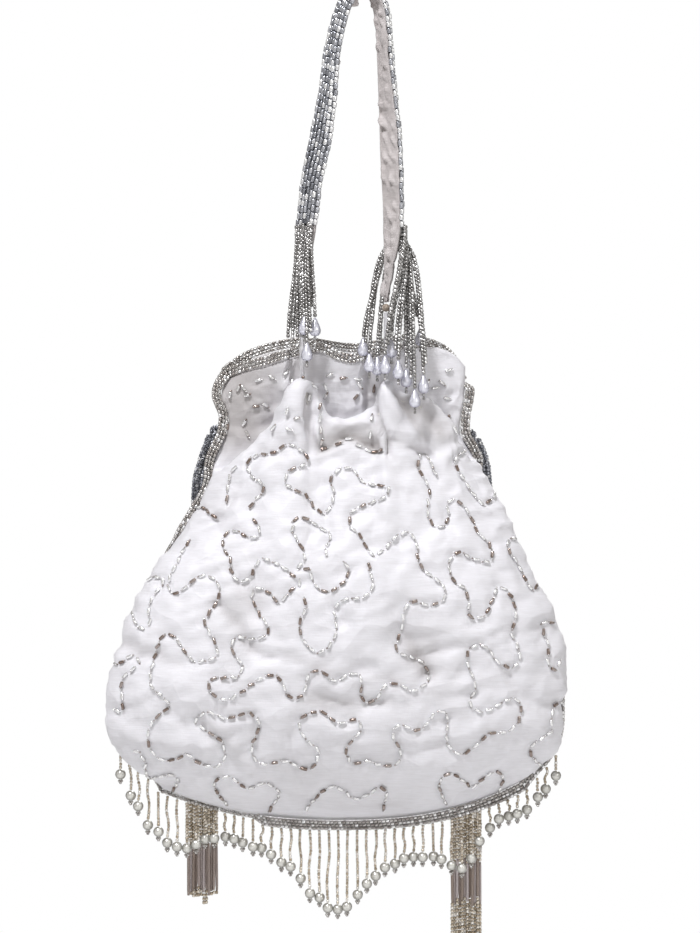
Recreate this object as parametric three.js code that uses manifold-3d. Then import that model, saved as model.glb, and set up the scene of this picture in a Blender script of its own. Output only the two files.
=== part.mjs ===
// Beaded silk potli bag: two gathered silk panels with a drawn-up neck and a ruffle, bead borders,
// a drawstring, one beaded strap handle with strand tassels, a scalloped pearl fringe along the
// bottom seam and two long bead tassels that hang behind the bag.
//
// Units are millimetres. The bag is drawn in its own frame: x across with 0 on the bag's middle
// line, y from front (negative) to back, z up with 0 at the lowest point of the bead border.
// The exported group is moved so that its origin is where the handle hangs.

import * as THREE from "three";
import { mergeVertices } from "three/addons/utils/BufferGeometryUtils.js";
import Module from "manifold-3d";

const wasm = await Module();
wasm.setup();

// Cloth
const CLOTH = 1.0;
const SEAM_HALF_GAP = 0.3;
const LINING_GAP = 0.8;
const LINING_CLOTH = 0.6;
const LINING_EDGE = 0.985;
const LINING_FOOT = 0.1;
const FRONT_DEPTH = 40;
const BACK_DEPTH = 34;

// Bead borders round each panel
const BORDER_WIDTH = 5;
const BORDER_THICKNESS = 3;
const BORDER_OFF_SEAM = 0.8;
const BORDER_GAP_Y = 0.7;
const TUCK_SHIFT = 4.5;

// Couched bead lines, as low ridges on the cloth
const LINE_RADIUS = 0.8;
const LINE_PROUD = 0.1;
const LINE_STEP = 10;

// Neck and ears, drawn up under the two legs of the handle
const EAR_X = [-20.5, 22.5];
const EAR_FORWARD = 3;
const CHANNEL_Z = 197;

// Drawstring and the knots that the handle turns on
const CORD_RADIUS = 1.2;
const KNOT_RADIUS = 2.1;
const KNOT_X = [-19, 23];
const KNOT_Y = -17;
const KNOT_Z = 262;
const RUN_GAP = 0.3;
const CHANNEL_Y = -8.8;
const CHANNEL_RISE = 7.6;

// Strap handle
const STRAP_WIDTH = 13;
const STRAP_TURN = THREE.MathUtils.degToRad(33);
const TAPE_THICKNESS = 1.5;
const FACING_THICKNESS = 1.5;
const HANDLE_TOP_X = 11.5;
const HANDLE_TOP_Z = 424;
const HANDLE_Y = -14;
const TIP_WIDTH = 2.4;
const TAPER_TOP = 300;
const TAPER_LOW = 265;
const FACING_LOW = 302;

// Beads
const STRAND_RADIUS = 0.9;
const DROP_LENGTH = 9.2;
const DROP_RADIUS = 3;
const DROP_TAIL = 3.6;

// Strands that hang from the handle's two ends
const STRAND_OFF_TAPE = 0.7;
const LAYER_STEP = 2.2;
const KNEE_Z = 284;

// Fringe
const PEARL_RADIUS = 2.7;
const PEARL_GAP = 0.2;
const FRINGE_TIP = 3.2;
const FRINGE_COUNT = 47;
const FRINGE_LEFT = -110.5;
const FRINGE_RIGHT = 108.5;
const HEADER_TOP = 50;
const HEADER_IN = 0.8;
const HEADER_OUT = 6.6;
const HEADER_HALF = 0.3;

// Tassels at the sides of the neck
const SIDE_KNOT_RADIUS = 3.2;
const BUNDLE_TOP_SHARE = 0.4;

// How finely the seam is followed by what is sewn along it
const SEAM_SIDE_STEPS = 28;
const SEAM_ACROSS_STEPS = 24;

const SIDE = { left: 0, right: 1 };

const COLOURS = {
  silk: { color: "#f3f1f1", roughness: 0.7, metalness: 0 },
  lining: { color: "#ded6d0", roughness: 0.8, metalness: 0 },
  beads: { color: "#a9a6a3", roughness: 0.25, metalness: 0.6 },
  pearl: { color: "#ececf4", roughness: 0.2, metalness: 0 },
  cord: { color: "#cfc2b4", roughness: 0.8, metalness: 0 },
  bugle: { color: "#9a8d82", roughness: 0.25, metalness: 0.5 },
};

const vec = (x, y, z) => new THREE.Vector3(x, y, z);
const bell = (x, centre, width) => Math.exp(-(((x - centre) / width) ** 2));

// A smooth curve through listed pairs, read at any place between them.
function profile(pairs) {
  return (at) => {
    let i = 0;
    while (i < pairs.length - 2 && at > pairs[i + 1][0]) i += 1;
    const [x0, y0] = pairs[i];
    const [x1, y1] = pairs[i + 1];
    const t = THREE.MathUtils.clamp((at - x0) / (x1 - x0), 0, 1);
    return y0 + (y1 - y0) * t * t * (3 - 2 * t);
  };
}

// Rows of a panel from the bottom seam up to the ruffle's top edge. Each row has its silhouette on
// the left and right, how far the seam is tucked in behind it, and the panel's depth there.
const ROWS = [
  { name: "bottom", left: [-89, 21], right: [90, 24], tuck: [0, 0], front: 0, back: 0 },
  { name: "lower", left: [-111, 43], right: [109, 44], tuck: [5, 2], front: 0.68, back: 0.7 },
  { name: "belly", left: [-117, 64], right: [112.5, 66], tuck: [6, 3], front: 0.94, back: 0.95 },
  { name: "middle", left: [-110.5, 97], right: [111.5, 98], tuck: [6, 5], front: 1, back: 1 },
  { name: "upper", left: [-96, 128], right: [99.5, 124], tuck: [3, 6], front: 0.95, back: 0.93 },
  { name: "high", left: [-80, 149.5], right: [87, 151], tuck: [0, 6], front: 0.8, back: 0.8 },
  { name: "shoulder", left: [-69, 168], right: [77, 171], tuck: [0, 5], front: 0.63, back: 0.62 },
  { name: "fold_front", left: [-65, 177], right: [71, 181], tuck: [0, 3], front: 0.56, back: 0.52 },
  { name: "fold_top", left: [-64.5, 179.5], right: [70, 183.5], tuck: [0, 2], front: 0.46, back: 0.44 },
  { name: "fold_back", left: [-64, 182.5], right: [69, 186], tuck: [0, 1], front: 0.37, back: 0.36 },
  { name: "channel", left: [-62, 188], right: [65, 190.5], tuck: [0, 0], front: 0.2, back: 0.24 },
  { name: "neck", left: [-57, 199], right: [60.5, 199], tuck: [0, 0], front: 0.16, back: 0.2 },
  { name: "ruffle_low", left: [-56, 209], right: [60.5, 208], tuck: [0, 0], front: 0.19, back: 0.24 },
  { name: "ruffle", left: [-59.5, 220], right: [62, 219.5], tuck: [0, 0], front: 0.24, back: 0.32 },
  { name: "ruffle_top", left: [-55, 229], right: [58, 231], tuck: [0, 0], front: 0.31, back: 0.42 },
];
const FOLD_FRONT = ROWS.findIndex((row) => row.name === "fold_front");
const CHANNEL = ROWS.findIndex((row) => row.name === "channel");
const RUFFLE_TOP = ROWS.length - 1;

// The line along which the body cloth rolls back into the neck, with its two ears.
const frontFoldLine = profile([
  [-64, 178], [-54, 187], [-39.5, 199.5], [-26, 219], [-20.5, 225.5], [-12, 221], [-6, 208.5],
  [8, 208.5], [16, 213], [22, 226], [31, 221], [43.5, 217], [54, 208], [60, 195], [70, 183],
]);
const backFoldLine = profile([
  [-64, 178], [-52, 190], [-36, 203], [-22, 208], [-8, 202], [6, 209], [20, 204], [36, 208],
  [52, 193], [70, 183],
]);
const frontTopLine = profile([
  [-56, 229], [-48.5, 233.5], [-37, 236], [-25.5, 239.5], [-10, 241], [-2.5, 237], [5.5, 234.5],
  [12, 236], [24, 239], [39.5, 240], [52, 237], [58, 231],
]);
const backTopLine = profile([
  [-56, 229], [-44, 237], [-20, 243], [8, 240], [34, 244.5], [50, 240], [58, 231],
]);

// How far the ruffle and the drawn-up cloth stand forward in their vertical folds.
function frontFolds(x, row) {
  const body = Math.max(0, 1 - Math.abs(row - FOLD_FRONT) / 3);
  const ears = bell(x, EAR_X[0], 7) + bell(x, EAR_X[1], 7);
  const creases = bell(x, EAR_X[0] + 5.5, 2.6) + bell(x, EAR_X[1] - 6, 2.6) + bell(x, 42, 4) * 0.6;
  const pouchDepth = { [FOLD_FRONT - 1]: -3.5, [FOLD_FRONT]: 1.2 }[row] ?? 0;
  const pouch = pouchDepth * bell(x, (EAR_X[0] + EAR_X[1]) / 2 + 2.5, 11);
  const pleats = 1.1 * Math.cos(x / 4.1) * body * bell(x, 0, 52);
  const above = row > CHANNEL ? (row - CHANNEL) / (RUFFLE_TOP - CHANNEL) : 0;
  const waves = above * (2.6 * Math.cos((x + 3.5) / 3.0 + 0.6) * bell(x, -2, 46) - 3.4 * bell(x, 13.5, 4));
  return EAR_FORWARD * ears * body - 3 * creases * body + pouch + pleats + waves;
}

function backFolds(x, row) {
  const body = Math.max(0, 1 - Math.abs(row - FOLD_FRONT) / 3.5);
  const above = row > CHANNEL ? (row - CHANNEL) / (RUFFLE_TOP - CHANNEL) : 0;
  return (1.6 * Math.cos(x / 4.6) * body + 2.4 * above * Math.cos(x / 3.6 + 1)) * bell(x, 0, 50);
}

// Bead lines that wander over the front in a vermicelli pattern, by x and z.
const BEAD_LINES = [
  [
    [-44.5, 187.5], [-32.5, 190], [-21, 192], [-18.5, 183.5], [-27, 175.5], [-18.5, 169.5],
    [-7, 159.5], [-3, 169], [-4.5, 176], [4.5, 182], [11.5, 175], [23.5, 172.5], [16.5, 165],
    [6, 160], [9.5, 149], [17, 138.5], [27.5, 148], [38, 143.5], [44, 129], [52, 119], [36.5, 116],
    [31, 105], [27.5, 93.5], [41.5, 85], [41.5, 74], [22.5, 74], [14.5, 66], [9.5, 79.5], [-3, 77],
    [-13, 81.5], [-21, 68], [-32.5, 79.5], [-48.5, 71], [-64, 71.5], [-61, 78], [-48, 84],
    [-54, 94.5], [-35.5, 100.5], [-43.5, 117.5], [-30, 116], [-20, 125], [-38.5, 136.5], [-53, 128],
    [-57.5, 147.5], [-41, 148], [-43.5, 157],
  ],
  [
    [40, 189.5], [38.5, 183.5], [44.5, 170.5], [44, 157], [52.5, 154], [53.5, 164], [62, 162],
    [68.5, 149.5], [75.5, 139], [64, 137.5], [56, 138.5], [56.5, 126], [63.5, 114.5], [68.5, 107.5],
    [75.5, 116.5], [83, 120.5], [87, 109], [85.5, 99], [89, 87.5], [80.5, 84.5], [69.5, 94.5],
    [63, 86.5], [67, 73], [64.5, 65], [74, 62], [85.5, 67.5], [89, 57], [79.5, 50.5], [70, 46.5],
    [59.5, 40], [53, 49], [52, 61], [38.5, 52], [28, 54], [30, 37.5], [15, 36.5], [3, 42],
    [10.5, 53], [-3, 57], [-15.5, 60.5], [-17, 48], [-11, 38], [-22.5, 34.5], [-39.5, 35.5],
    [-43, 46.5], [-46, 61], [-63.5, 60.5], [-68, 53], [-58, 45], [-64, 34], [-75.5, 39.5],
    [-87.5, 36.5], [-95, 45], [-90.5, 58.5], [-86.5, 67.5], [-94, 78.5], [-88, 98], [-76, 89.5],
    [-61, 89], [-65, 101.5], [-60.5, 117], [-62.5, 126.5], [-74, 125], [-85, 122.5], [-81.5, 133],
    [-74.5, 146.5],
  ],
  [
    [-6, 137.5], [-4.5, 147], [-18, 157], [-23.5, 151.5], [-17.5, 138.5], [-20, 132.5], [-12, 124],
    [-1.5, 122.5], [1.5, 135.5],
  ],
  [
    [15.5, 136], [16, 123.5], [3, 117], [-2.5, 108], [-5, 94.5], [-16, 94.5], [-19.5, 108],
    [-17.5, 118.5],
  ],
  [[-46, 162], [-38, 174.5], [-46, 182]],
  [[-97, 124.5], [-88, 126], [-95, 108.5]],
  [[-55.5, 14], [-62.5, 24.5], [-55.5, 28.5], [-46, 22.5], [-30.5, 20.5], [-36, 11]],
  [[-18, 11], [-7.5, 22], [7, 17], [23, 21], [21.5, 11]],
  [[53.5, 14], [49.5, 23.5], [56, 30], [66, 23], [79.5, 30], [79.5, 20]],
  [[95, 39.5], [99, 46.5], [104, 58]],
];

const FRONT = {
  sign: -1,
  lines: BEAD_LINES,
  depth: FRONT_DEPTH,
  share: (row) => ROWS[row].front,
  tucked: true,
  foldLine: frontFoldLine,
  topLine: frontTopLine,
  folds: frontFolds,
};
const BACK = {
  sign: 1,
  lines: BEAD_LINES.slice(0, 2).map((line) => line.map(([x, z]) => [-x, z])),
  depth: BACK_DEPTH,
  share: (row) => ROWS[row].back,
  tucked: false,
  foldLine: backFoldLine,
  topLine: backTopLine,
  folds: backFolds,
};

// One control point of a panel: row is a row's number, u runs from -1 at the left seam to 1.
function control(panel, row, u) {
  const { left, right, tuck } = ROWS[row];
  const side = u < 0 ? SIDE.left : SIDE.right;
  const middle = (left[0] + right[0]) / 2;
  const silhouette = Math.abs((u < 0 ? left[0] : right[0]) - middle);
  const inset = tuck[side];
  const half = panel.tucked ? silhouette : silhouette - inset;
  const past = panel.tucked ? Math.acos(1 - inset / silhouette) : 0;
  const angle = Math.abs(u) * (Math.PI / 2 + past);
  const x = middle + Math.sign(u) * half * Math.sin(angle);
  const crown = (Math.cos(angle) + Math.sin(past)) / (1 + Math.sin(past));
  const share = (u + 1) / 2;
  let z = left[1] + (right[1] - left[1]) * share;
  const fromEdge = 1 - Math.abs(u) ** 3;
  if (row === 0) z = 5 + (z - 5) * Math.abs(x / 90) ** 2.4;
  if (row === 1) z -= 9 * fromEdge;
  if (row === 2) z -= 3 * fromEdge;
  const fold = panel.foldLine(x);
  if (row === FOLD_FRONT - 1) z += (Math.min(fold - 12, 190) - z) * fromEdge;
  if (row === FOLD_FRONT) z += (fold - 3.2 - z) * fromEdge;
  if (row === FOLD_FRONT + 1) z += (fold - z) * fromEdge;
  if (row === FOLD_FRONT + 2) z += (fold - 3.6 - z) * fromEdge;
  const channel = Math.min(CHANNEL_Z, fold - 8);
  if (row === CHANNEL) z += (channel - z) * fromEdge;
  if (row === CHANNEL + 1) z += (Math.max(channel + 7, 198) - z) * fromEdge;
  const top = panel.topLine(x);
  if (row === RUFFLE_TOP) z = top;
  if (row > CHANNEL + 1 && row < RUFFLE_TOP) {
    z += (channel + ((top - channel) * (row - CHANNEL)) / (RUFFLE_TOP - CHANNEL) - z) * fromEdge * 0.8;
  }
  const edgeFade = Math.min(1, (1 - Math.abs(u)) * 5);
  const depth = panel.depth * panel.share(row) * crown + panel.folds(x, row) * edgeFade;
  return vec(x, panel.sign * (SEAM_HALF_GAP + Math.max(depth, 0)), z);
}

// A panel's outer face as a grid of points, rows from the bottom seam to the top edge.
// edge and foot keep a smaller piece, such as the lining, back from the side and bottom seams.
function panelGrid(panel, columns, steps, lastRow = RUFFLE_TOP, edge = 1, foot = 0) {
  const lines = [];
  for (let i = 0; i <= columns; i += 1) {
    const u = edge * (-1 + (2 * i) / columns);
    const controls = ROWS.slice(0, lastRow + 1).map((_, row) => control(panel, row, u));
    const curve = new THREE.CatmullRomCurve3(controls, false, "centripetal");
    const line = [];
    for (let row = 0; row < lastRow; row += 1) {
      for (let k = 0; k < steps[row]; k += 1) {
        line.push(curve.getPoint(Math.max(row + k / steps[row], foot) / lastRow));
      }
    }
    line.push(controls[lastRow]);
    lines.push(line);
  }
  return lines[0].map((_, j) => lines.map((line) => line[j]));
}

// Points of a grid moved into the bag along the cloth's own normal.
function offsetGrid(grid, sign, distance) {
  const rows = grid.length;
  const columns = grid[0].length;
  return grid.map((line, j) =>
    line.map((point, i) => {
      const across = grid[j][Math.min(i + 1, columns - 1)].clone().sub(grid[j][Math.max(i - 1, 0)]);
      const up = grid[Math.min(j + 1, rows - 1)][i].clone().sub(grid[Math.max(j - 1, 0)][i]);
      const inward = across.cross(up).normalize().multiplyScalar(sign * distance);
      const moved = point.clone().add(inward);
      moved.y = sign * Math.max(sign * moved.y, SEAM_HALF_GAP);
      return moved;
    }),
  );
}

// A closed body from two matching grids of points, the faces between them and a wall all round.
function shell(outer, inner, flip) {
  const rows = outer.length;
  const columns = outer[0].length;
  const points = [...outer.flat(), ...inner.flat()];
  const at = (layer, j, i) => layer * rows * columns + j * columns + i;
  const index = [];
  const quad = (a, b, c, d) => (flip ? index.push(a, c, b, a, d, c) : index.push(a, b, c, a, c, d));
  for (let j = 0; j < rows - 1; j += 1) {
    for (let i = 0; i < columns - 1; i += 1) {
      quad(at(0, j, i), at(0, j, i + 1), at(0, j + 1, i + 1), at(0, j + 1, i));
      quad(at(1, j, i), at(1, j + 1, i), at(1, j + 1, i + 1), at(1, j, i + 1));
    }
  }
  for (let i = 0; i < columns - 1; i += 1) {
    quad(at(0, 0, i + 1), at(0, 0, i), at(1, 0, i), at(1, 0, i + 1));
    quad(at(0, rows - 1, i), at(0, rows - 1, i + 1), at(1, rows - 1, i + 1), at(1, rows - 1, i));
  }
  for (let j = 0; j < rows - 1; j += 1) {
    quad(at(0, j, 0), at(0, j + 1, 0), at(1, j + 1, 0), at(1, j, 0));
    const edge = columns - 1;
    quad(at(0, j + 1, edge), at(0, j, edge), at(1, j, edge), at(1, j + 1, edge));
  }
  return polyhedron(points, index);
}

function polyhedron(points, index) {
  const geometry = new THREE.BufferGeometry();
  const values = points.flatMap((point) => point.toArray());
  geometry.setAttribute("position", new THREE.Float32BufferAttribute(values, 3));
  geometry.setIndex(index);
  return geometry;
}

// Where a line across the bag at x and z meets a panel's face first, or null outside it.
function faceAt(grid, sign, x, z) {
  let found = null;
  const meet = (a, b, c) => {
    const area = (b.x - a.x) * (c.z - a.z) - (c.x - a.x) * (b.z - a.z);
    const shareB = ((x - a.x) * (c.z - a.z) - (c.x - a.x) * (z - a.z)) / area;
    const shareC = ((b.x - a.x) * (z - a.z) - (x - a.x) * (b.z - a.z)) / area;
    if (!(shareB >= 0 && shareC >= 0 && shareB + shareC <= 1)) return;
    const y = a.y + shareB * (b.y - a.y) + shareC * (c.y - a.y);
    if (found === null || sign * y > sign * found) found = y;
  };
  for (let j = 0; j < grid.length - 1; j += 1) {
    for (let i = 0; i < grid[0].length - 1; i += 1) {
      meet(grid[j][i], grid[j][i + 1], grid[j + 1][i + 1]);
      meet(grid[j][i], grid[j + 1][i + 1], grid[j + 1][i]);
    }
  }
  return found;
}

// A couched bead line as a low ridge that lies on the face.
function beadLine(grid, sign, line) {
  const curve = new THREE.CatmullRomCurve3(line.map(([x, z]) => vec(x, 0, z)), false, "centripetal");
  const steps = Math.round(curve.getLength() / LINE_STEP);
  const laid = curve.getSpacedPoints(steps).map(({ x, z }) => vec(x, faceAt(grid, sign, x, z), z));
  laid.forEach((point) => point.setY(point.y + sign * LINE_PROUD));
  return solid(rod(laid, LINE_RADIUS, steps, 4));
}

// The seam outline as one closed line, with the tuck at each point: bottom, right side, top, left.
function seamLine(panel, sideSteps, acrossSteps) {
  const bottom = [];
  for (let i = 1; i < acrossSteps; i += 1) {
    const share = i / acrossSteps;
    const { x, z } = control(panel, 0, 2 * share - 1);
    bottom.push({ x, z, tuck: THREE.MathUtils.lerp(...ROWS[0].tuck, share) });
  }
  const top = [];
  for (let i = acrossSteps - 1; i > 0; i -= 1) {
    const { x, y, z } = control(panel, RUFFLE_TOP, (2 * i) / acrossSteps - 1);
    top.push({ x, z, tuck: 0, y });
  }
  return [...bottom, ...seamSide(panel, 1, sideSteps), ...top, ...seamSide(panel, -1, sideSteps).reverse()];
}

// One side of the seam from the bottom corner to the ruffle's top corner.
function seamSide(panel, u, steps) {
  const controls = ROWS.map((_, row) => control(panel, row, u));
  const curve = new THREE.CatmullRomCurve3(controls, false, "centripetal");
  const side = u < 0 ? SIDE.left : SIDE.right;
  const places = [];
  for (let i = 0; i <= steps; i += 1) {
    const at = (RUFFLE_TOP * i) / steps;
    const row = Math.min(Math.floor(at), RUFFLE_TOP - 1);
    const { x, z } = curve.getPoint(i / steps);
    const tuck = THREE.MathUtils.lerp(ROWS[row].tuck[side], ROWS[row + 1].tuck[side], at - row);
    places.push({ x, z, tuck });
  }
  return places;
}

// The outward direction in the seam's plane at each point of a closed line.
function outwardAt(line, i) {
  const before = line[(i + line.length - 1) % line.length];
  const after = line[(i + 1) % line.length];
  return vec(after.z - before.z, 0, before.x - after.x).normalize();
}

function borderShift(tuck) {
  return TUCK_SHIFT * (1 - Math.exp(-tuck / 1.2));
}

// A bead border: a flattened ring that runs all round a panel, just outside its seam.
function borderRing(panel) {
  const line = seamLine(panel, SEAM_SIDE_STEPS, SEAM_ACROSS_STEPS);
  const sides = 5;
  const centre = BORDER_OFF_SEAM + BORDER_WIDTH / 2;
  const points = [];
  line.forEach((place, i) => {
    const outward = outwardAt(line, i);
    const seamY = panel.sign * (BORDER_GAP_Y + BORDER_THICKNESS / 2) + borderShift(place.tuck);
    const y = place.y === undefined ? seamY : Math.abs(place.y) * panel.sign + seamY * 0.15;
    for (let k = 0; k < sides; k += 1) {
      const angle = (2 * Math.PI * k) / sides;
      const out = centre + (BORDER_WIDTH / 2) * Math.cos(angle);
      const forward = (BORDER_THICKNESS / 2) * Math.sin(angle);
      points.push(vec(place.x, y + forward, place.z).addScaledVector(outward, out));
    }
  });
  const index = [];
  for (let i = 0; i < line.length; i += 1) {
    const next = (i + 1) % line.length;
    for (let k = 0; k < sides; k += 1) {
      const around = (k + 1) % sides;
      const [a, b, c, d] = [i * sides + k, i * sides + around, next * sides + around, next * sides + k];
      index.push(a, b, c, a, c, d);
    }
  }
  return polyhedron(points, index);
}

// A round rod along a curve, with flat ends.
function rod(points, radius, steps, sides) {
  const outline = [];
  for (let k = 0; k < sides; k += 1) {
    const angle = (2 * Math.PI * k) / sides;
    outline.push(new THREE.Vector2(radius * Math.cos(angle), radius * Math.sin(angle)));
  }
  const curve = points.length === 2 ? new THREE.LineCurve3(...points) : new THREE.CatmullRomCurve3(points);
  const section = new THREE.Shape(outline);
  return new THREE.ExtrudeGeometry(section, { steps, bevelEnabled: false, extrudePath: curve });
}

// A flat band along a line in the handle's plane. Its width lies along one fixed direction, and
// low and high are how far its two faces stand outside the line.
function band(points, width, low, high) {
  const across = vec(-Math.sin(STRAP_TURN), Math.cos(STRAP_TURN), 0);
  const ring = [];
  points.forEach((point, i) => {
    const along = points[Math.min(i + 1, points.length - 1)].clone().sub(points[Math.max(i - 1, 0)]);
    const outward = along.cross(across).normalize();
    const side = across.clone().multiplyScalar(width(point) / 2);
    ring.push(point.clone().sub(side).addScaledVector(outward, low));
    ring.push(point.clone().sub(side).addScaledVector(outward, high));
    ring.push(point.clone().add(side).addScaledVector(outward, high));
    ring.push(point.clone().add(side).addScaledVector(outward, low));
  });
  const index = [0, 1, 2, 0, 2, 3];
  const last = (points.length - 1) * 4;
  index.push(last, last + 2, last + 1, last, last + 3, last + 2);
  for (let i = 0; i < points.length - 1; i += 1) {
    for (let k = 0; k < 4; k += 1) {
      const [a, b] = [i * 4 + k, i * 4 + ((k + 1) % 4)];
      index.push(a, a + 4, b + 4, a, b + 4, b);
    }
  }
  return polyhedron(ring, index);
}

// The line that the strap handle follows, from its left tip over the top to its right tip.
const HANDLE_LINE = [
  [-19, 265], [-18, 280], [-16.8, 296], [-15.2, 313], [-13.2, 328], [-10, 343], [-7.2, 358],
  [-5, 373], [-3.4, 388], [-0.6, 402], [4, 415], [HANDLE_TOP_X, HANDLE_TOP_Z], [18.6, 415],
  [21, 402], [22, 386], [23, 371], [24.2, 356], [25, 341], [25.6, 326], [26, 313], [26, 300],
  [25, 284], [23.2, 265],
];

function handlePoints(count) {
  const line = HANDLE_LINE.map(([x, z]) => vec(x, HANDLE_Y, z));
  return new THREE.CatmullRomCurve3(line, false, "centripetal").getPoints(count);
}

function tapeWidth(point) {
  const share = THREE.MathUtils.clamp((point.z - TAPER_LOW) / (TAPER_TOP - TAPER_LOW), 0, 1);
  return TIP_WIDTH + (STRAP_WIDTH - TIP_WIDTH) * share;
}

const facingLow = TAPE_THICKNESS / 2 + RUN_GAP;
const handleTape = band(handlePoints(44), tapeWidth, -TAPE_THICKNESS / 2, TAPE_THICKNESS / 2);
const facingPoints = handlePoints(44).filter((point) => point.z > FACING_LOW);
const handleFacing = band(facingPoints, () => STRAP_WIDTH, facingLow, facingLow + FACING_THICKNESS);

// Strands that run on from the bead facing. start is the place across the strap, layer is 0 next to
// the tape or 1 outside it, by is the place x and y at the knee, end is where the strand ends, and
// drop says whether a drop pearl hangs there.
const LEFT_STRANDS = [
  { start: 6.1, layer: 0, by: [-22.4, -10], end: [-26, -20.5, 247], drop: false },
  { start: 4.05, layer: 0, by: [-21.4, -12.6], end: [-23.6, -21.5, 246.5], drop: false },
  { start: 2, layer: 0, by: [-21.2, -16.2], end: [-21.2, -22, 247], drop: false },
  { start: -0.05, layer: 0, by: [-19.4, -18.8], end: [-18.5, -22.6, 247], drop: false },
  { start: -2.1, layer: 0, by: [-18.4, -21.6], end: [-17.8, -27, 257.6], drop: true },
  { start: -4.15, layer: 0, by: [-17, -24.4], end: [-16.4, -32, 244.6], drop: true },
  { start: -6.5, layer: 0, by: [-13.9, -22], end: [-12.4, -23.4, 257.2], drop: true },
];
const RIGHT_STRANDS = [
  { start: 7.2, layer: 0, by: [20.6, -8], end: [11.6, -24.5, 247.2], drop: true },
  { start: 5.6, layer: 1, by: [20.5, -4.8], end: [14.6, -31.5, 239.2], drop: true },
  { start: 3.2, layer: 1, by: [23.2, -3.6], end: [18.6, -25.2, 237.7], drop: true },
  { start: -7, layer: 0, by: [30, -24], end: [22.4, -31, 238.2], drop: true },
  { start: -4.2, layer: 0, by: [31, -19.8], end: [25.6, -25, 246.3], drop: true },
  { start: -5, layer: 1, by: [33.2, -20.6], end: [29, -30.8, 235.7], drop: true },
  { start: -1.4, layer: 0, by: [31.6, -15.6], end: [33, -25.2, 231.7], drop: true },
  { start: -2.4, layer: 1, by: [35, -17.4], end: [37.2, -31.5, 221.5], drop: true },
  { start: 1.2, layer: 0, by: [32.4, -11.2], end: [40.2, -17.8, 252.5], drop: true },
  { start: 0.2, layer: 1, by: [36.6, -13.6], end: [41.6, -26.6, 228.6], drop: true },
];

function strandStart(point, side, strand) {
  const across = vec(-Math.sin(STRAP_TURN), Math.cos(STRAP_TURN), 0);
  const outward = vec(Math.cos(STRAP_TURN), Math.sin(STRAP_TURN), 0).multiplyScalar(side);
  const out = facingLow + FACING_THICKNESS / 2 + STRAND_OFF_TAPE + strand.layer * LAYER_STEP;
  const start = point.clone().addScaledVector(across, strand.start).addScaledVector(outward, out);
  start.z = facingPoints.at(side < 0 ? 0 : -1).z - RUN_GAP;
  return start;
}

function handleStrand(side, strand) {
  const start = strandStart(facingPoints.at(side < 0 ? 0 : -1), side, strand);
  const end = vec(...strand.end);
  const knee = vec(...strand.by, KNEE_Z);
  const low = knee.clone().lerp(end, 0.7);
  low.x += (end.x - knee.x) * 0.12;
  return rod([start, vec(start.x, start.y, start.z - 4), knee, low, end], STRAND_RADIUS, 8, 5);
}

// A drop pearl with the two seed beads that hold it.
function dropPearl() {
  const outline = [
    [0, 0], [1, -0.2], [1.7, -2.6], [DROP_RADIUS, -6.4], [2.2, -8.4],
    [0.8, -DROP_LENGTH], [0.8, -DROP_LENGTH - DROP_TAIL], [0, -DROP_LENGTH - DROP_TAIL],
  ];
  return lathe(outline, 6);
}

// Turned about the upright axis, from points listed from the top down.
function lathe(outline, segments) {
  const points = outline.map(([r, z]) => new THREE.Vector2(r, z)).reverse();
  const geometry = new THREE.LatheGeometry(points, segments);
  geometry.rotateX(Math.PI / 2);
  return geometry;
}

// The fringe: a header tape in the bottom seam with strands of unequal length, each ending in a
// round pearl, so that the pearls draw three scallops. Neighbouring pearls are wider than the space
// between their strands, so they push each other forward and back in turn.
const fringeLine = profile([
  [-112.6, 30], [-103, 14], [-95, 1.5], [-84, -8], [-78, -9.5], [-66, -4.5], [-58, -3.5], [-40, -9],
  [-26, -18], [-13, -33], [-3, -40.5], [4, -38.5], [13, -27], [24, -18.5], [34, -13.8], [48, -13.5],
  [60, -19.5], [67, -14], [73, 0], [82, 6.5], [92, 8.5], [100, 17], [110, 28],
]);

function headerLine() {
  const line = seamLine(FRONT, SEAM_SIDE_STEPS, SEAM_ACROSS_STEPS);
  const places = line.map((place, i) => ({ ...place, outward: outwardAt(line, i) }));
  const low = places.filter((place) => place.z < HEADER_TOP && place.y === undefined);
  return low.sort((a, b) => a.x - b.x);
}

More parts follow.
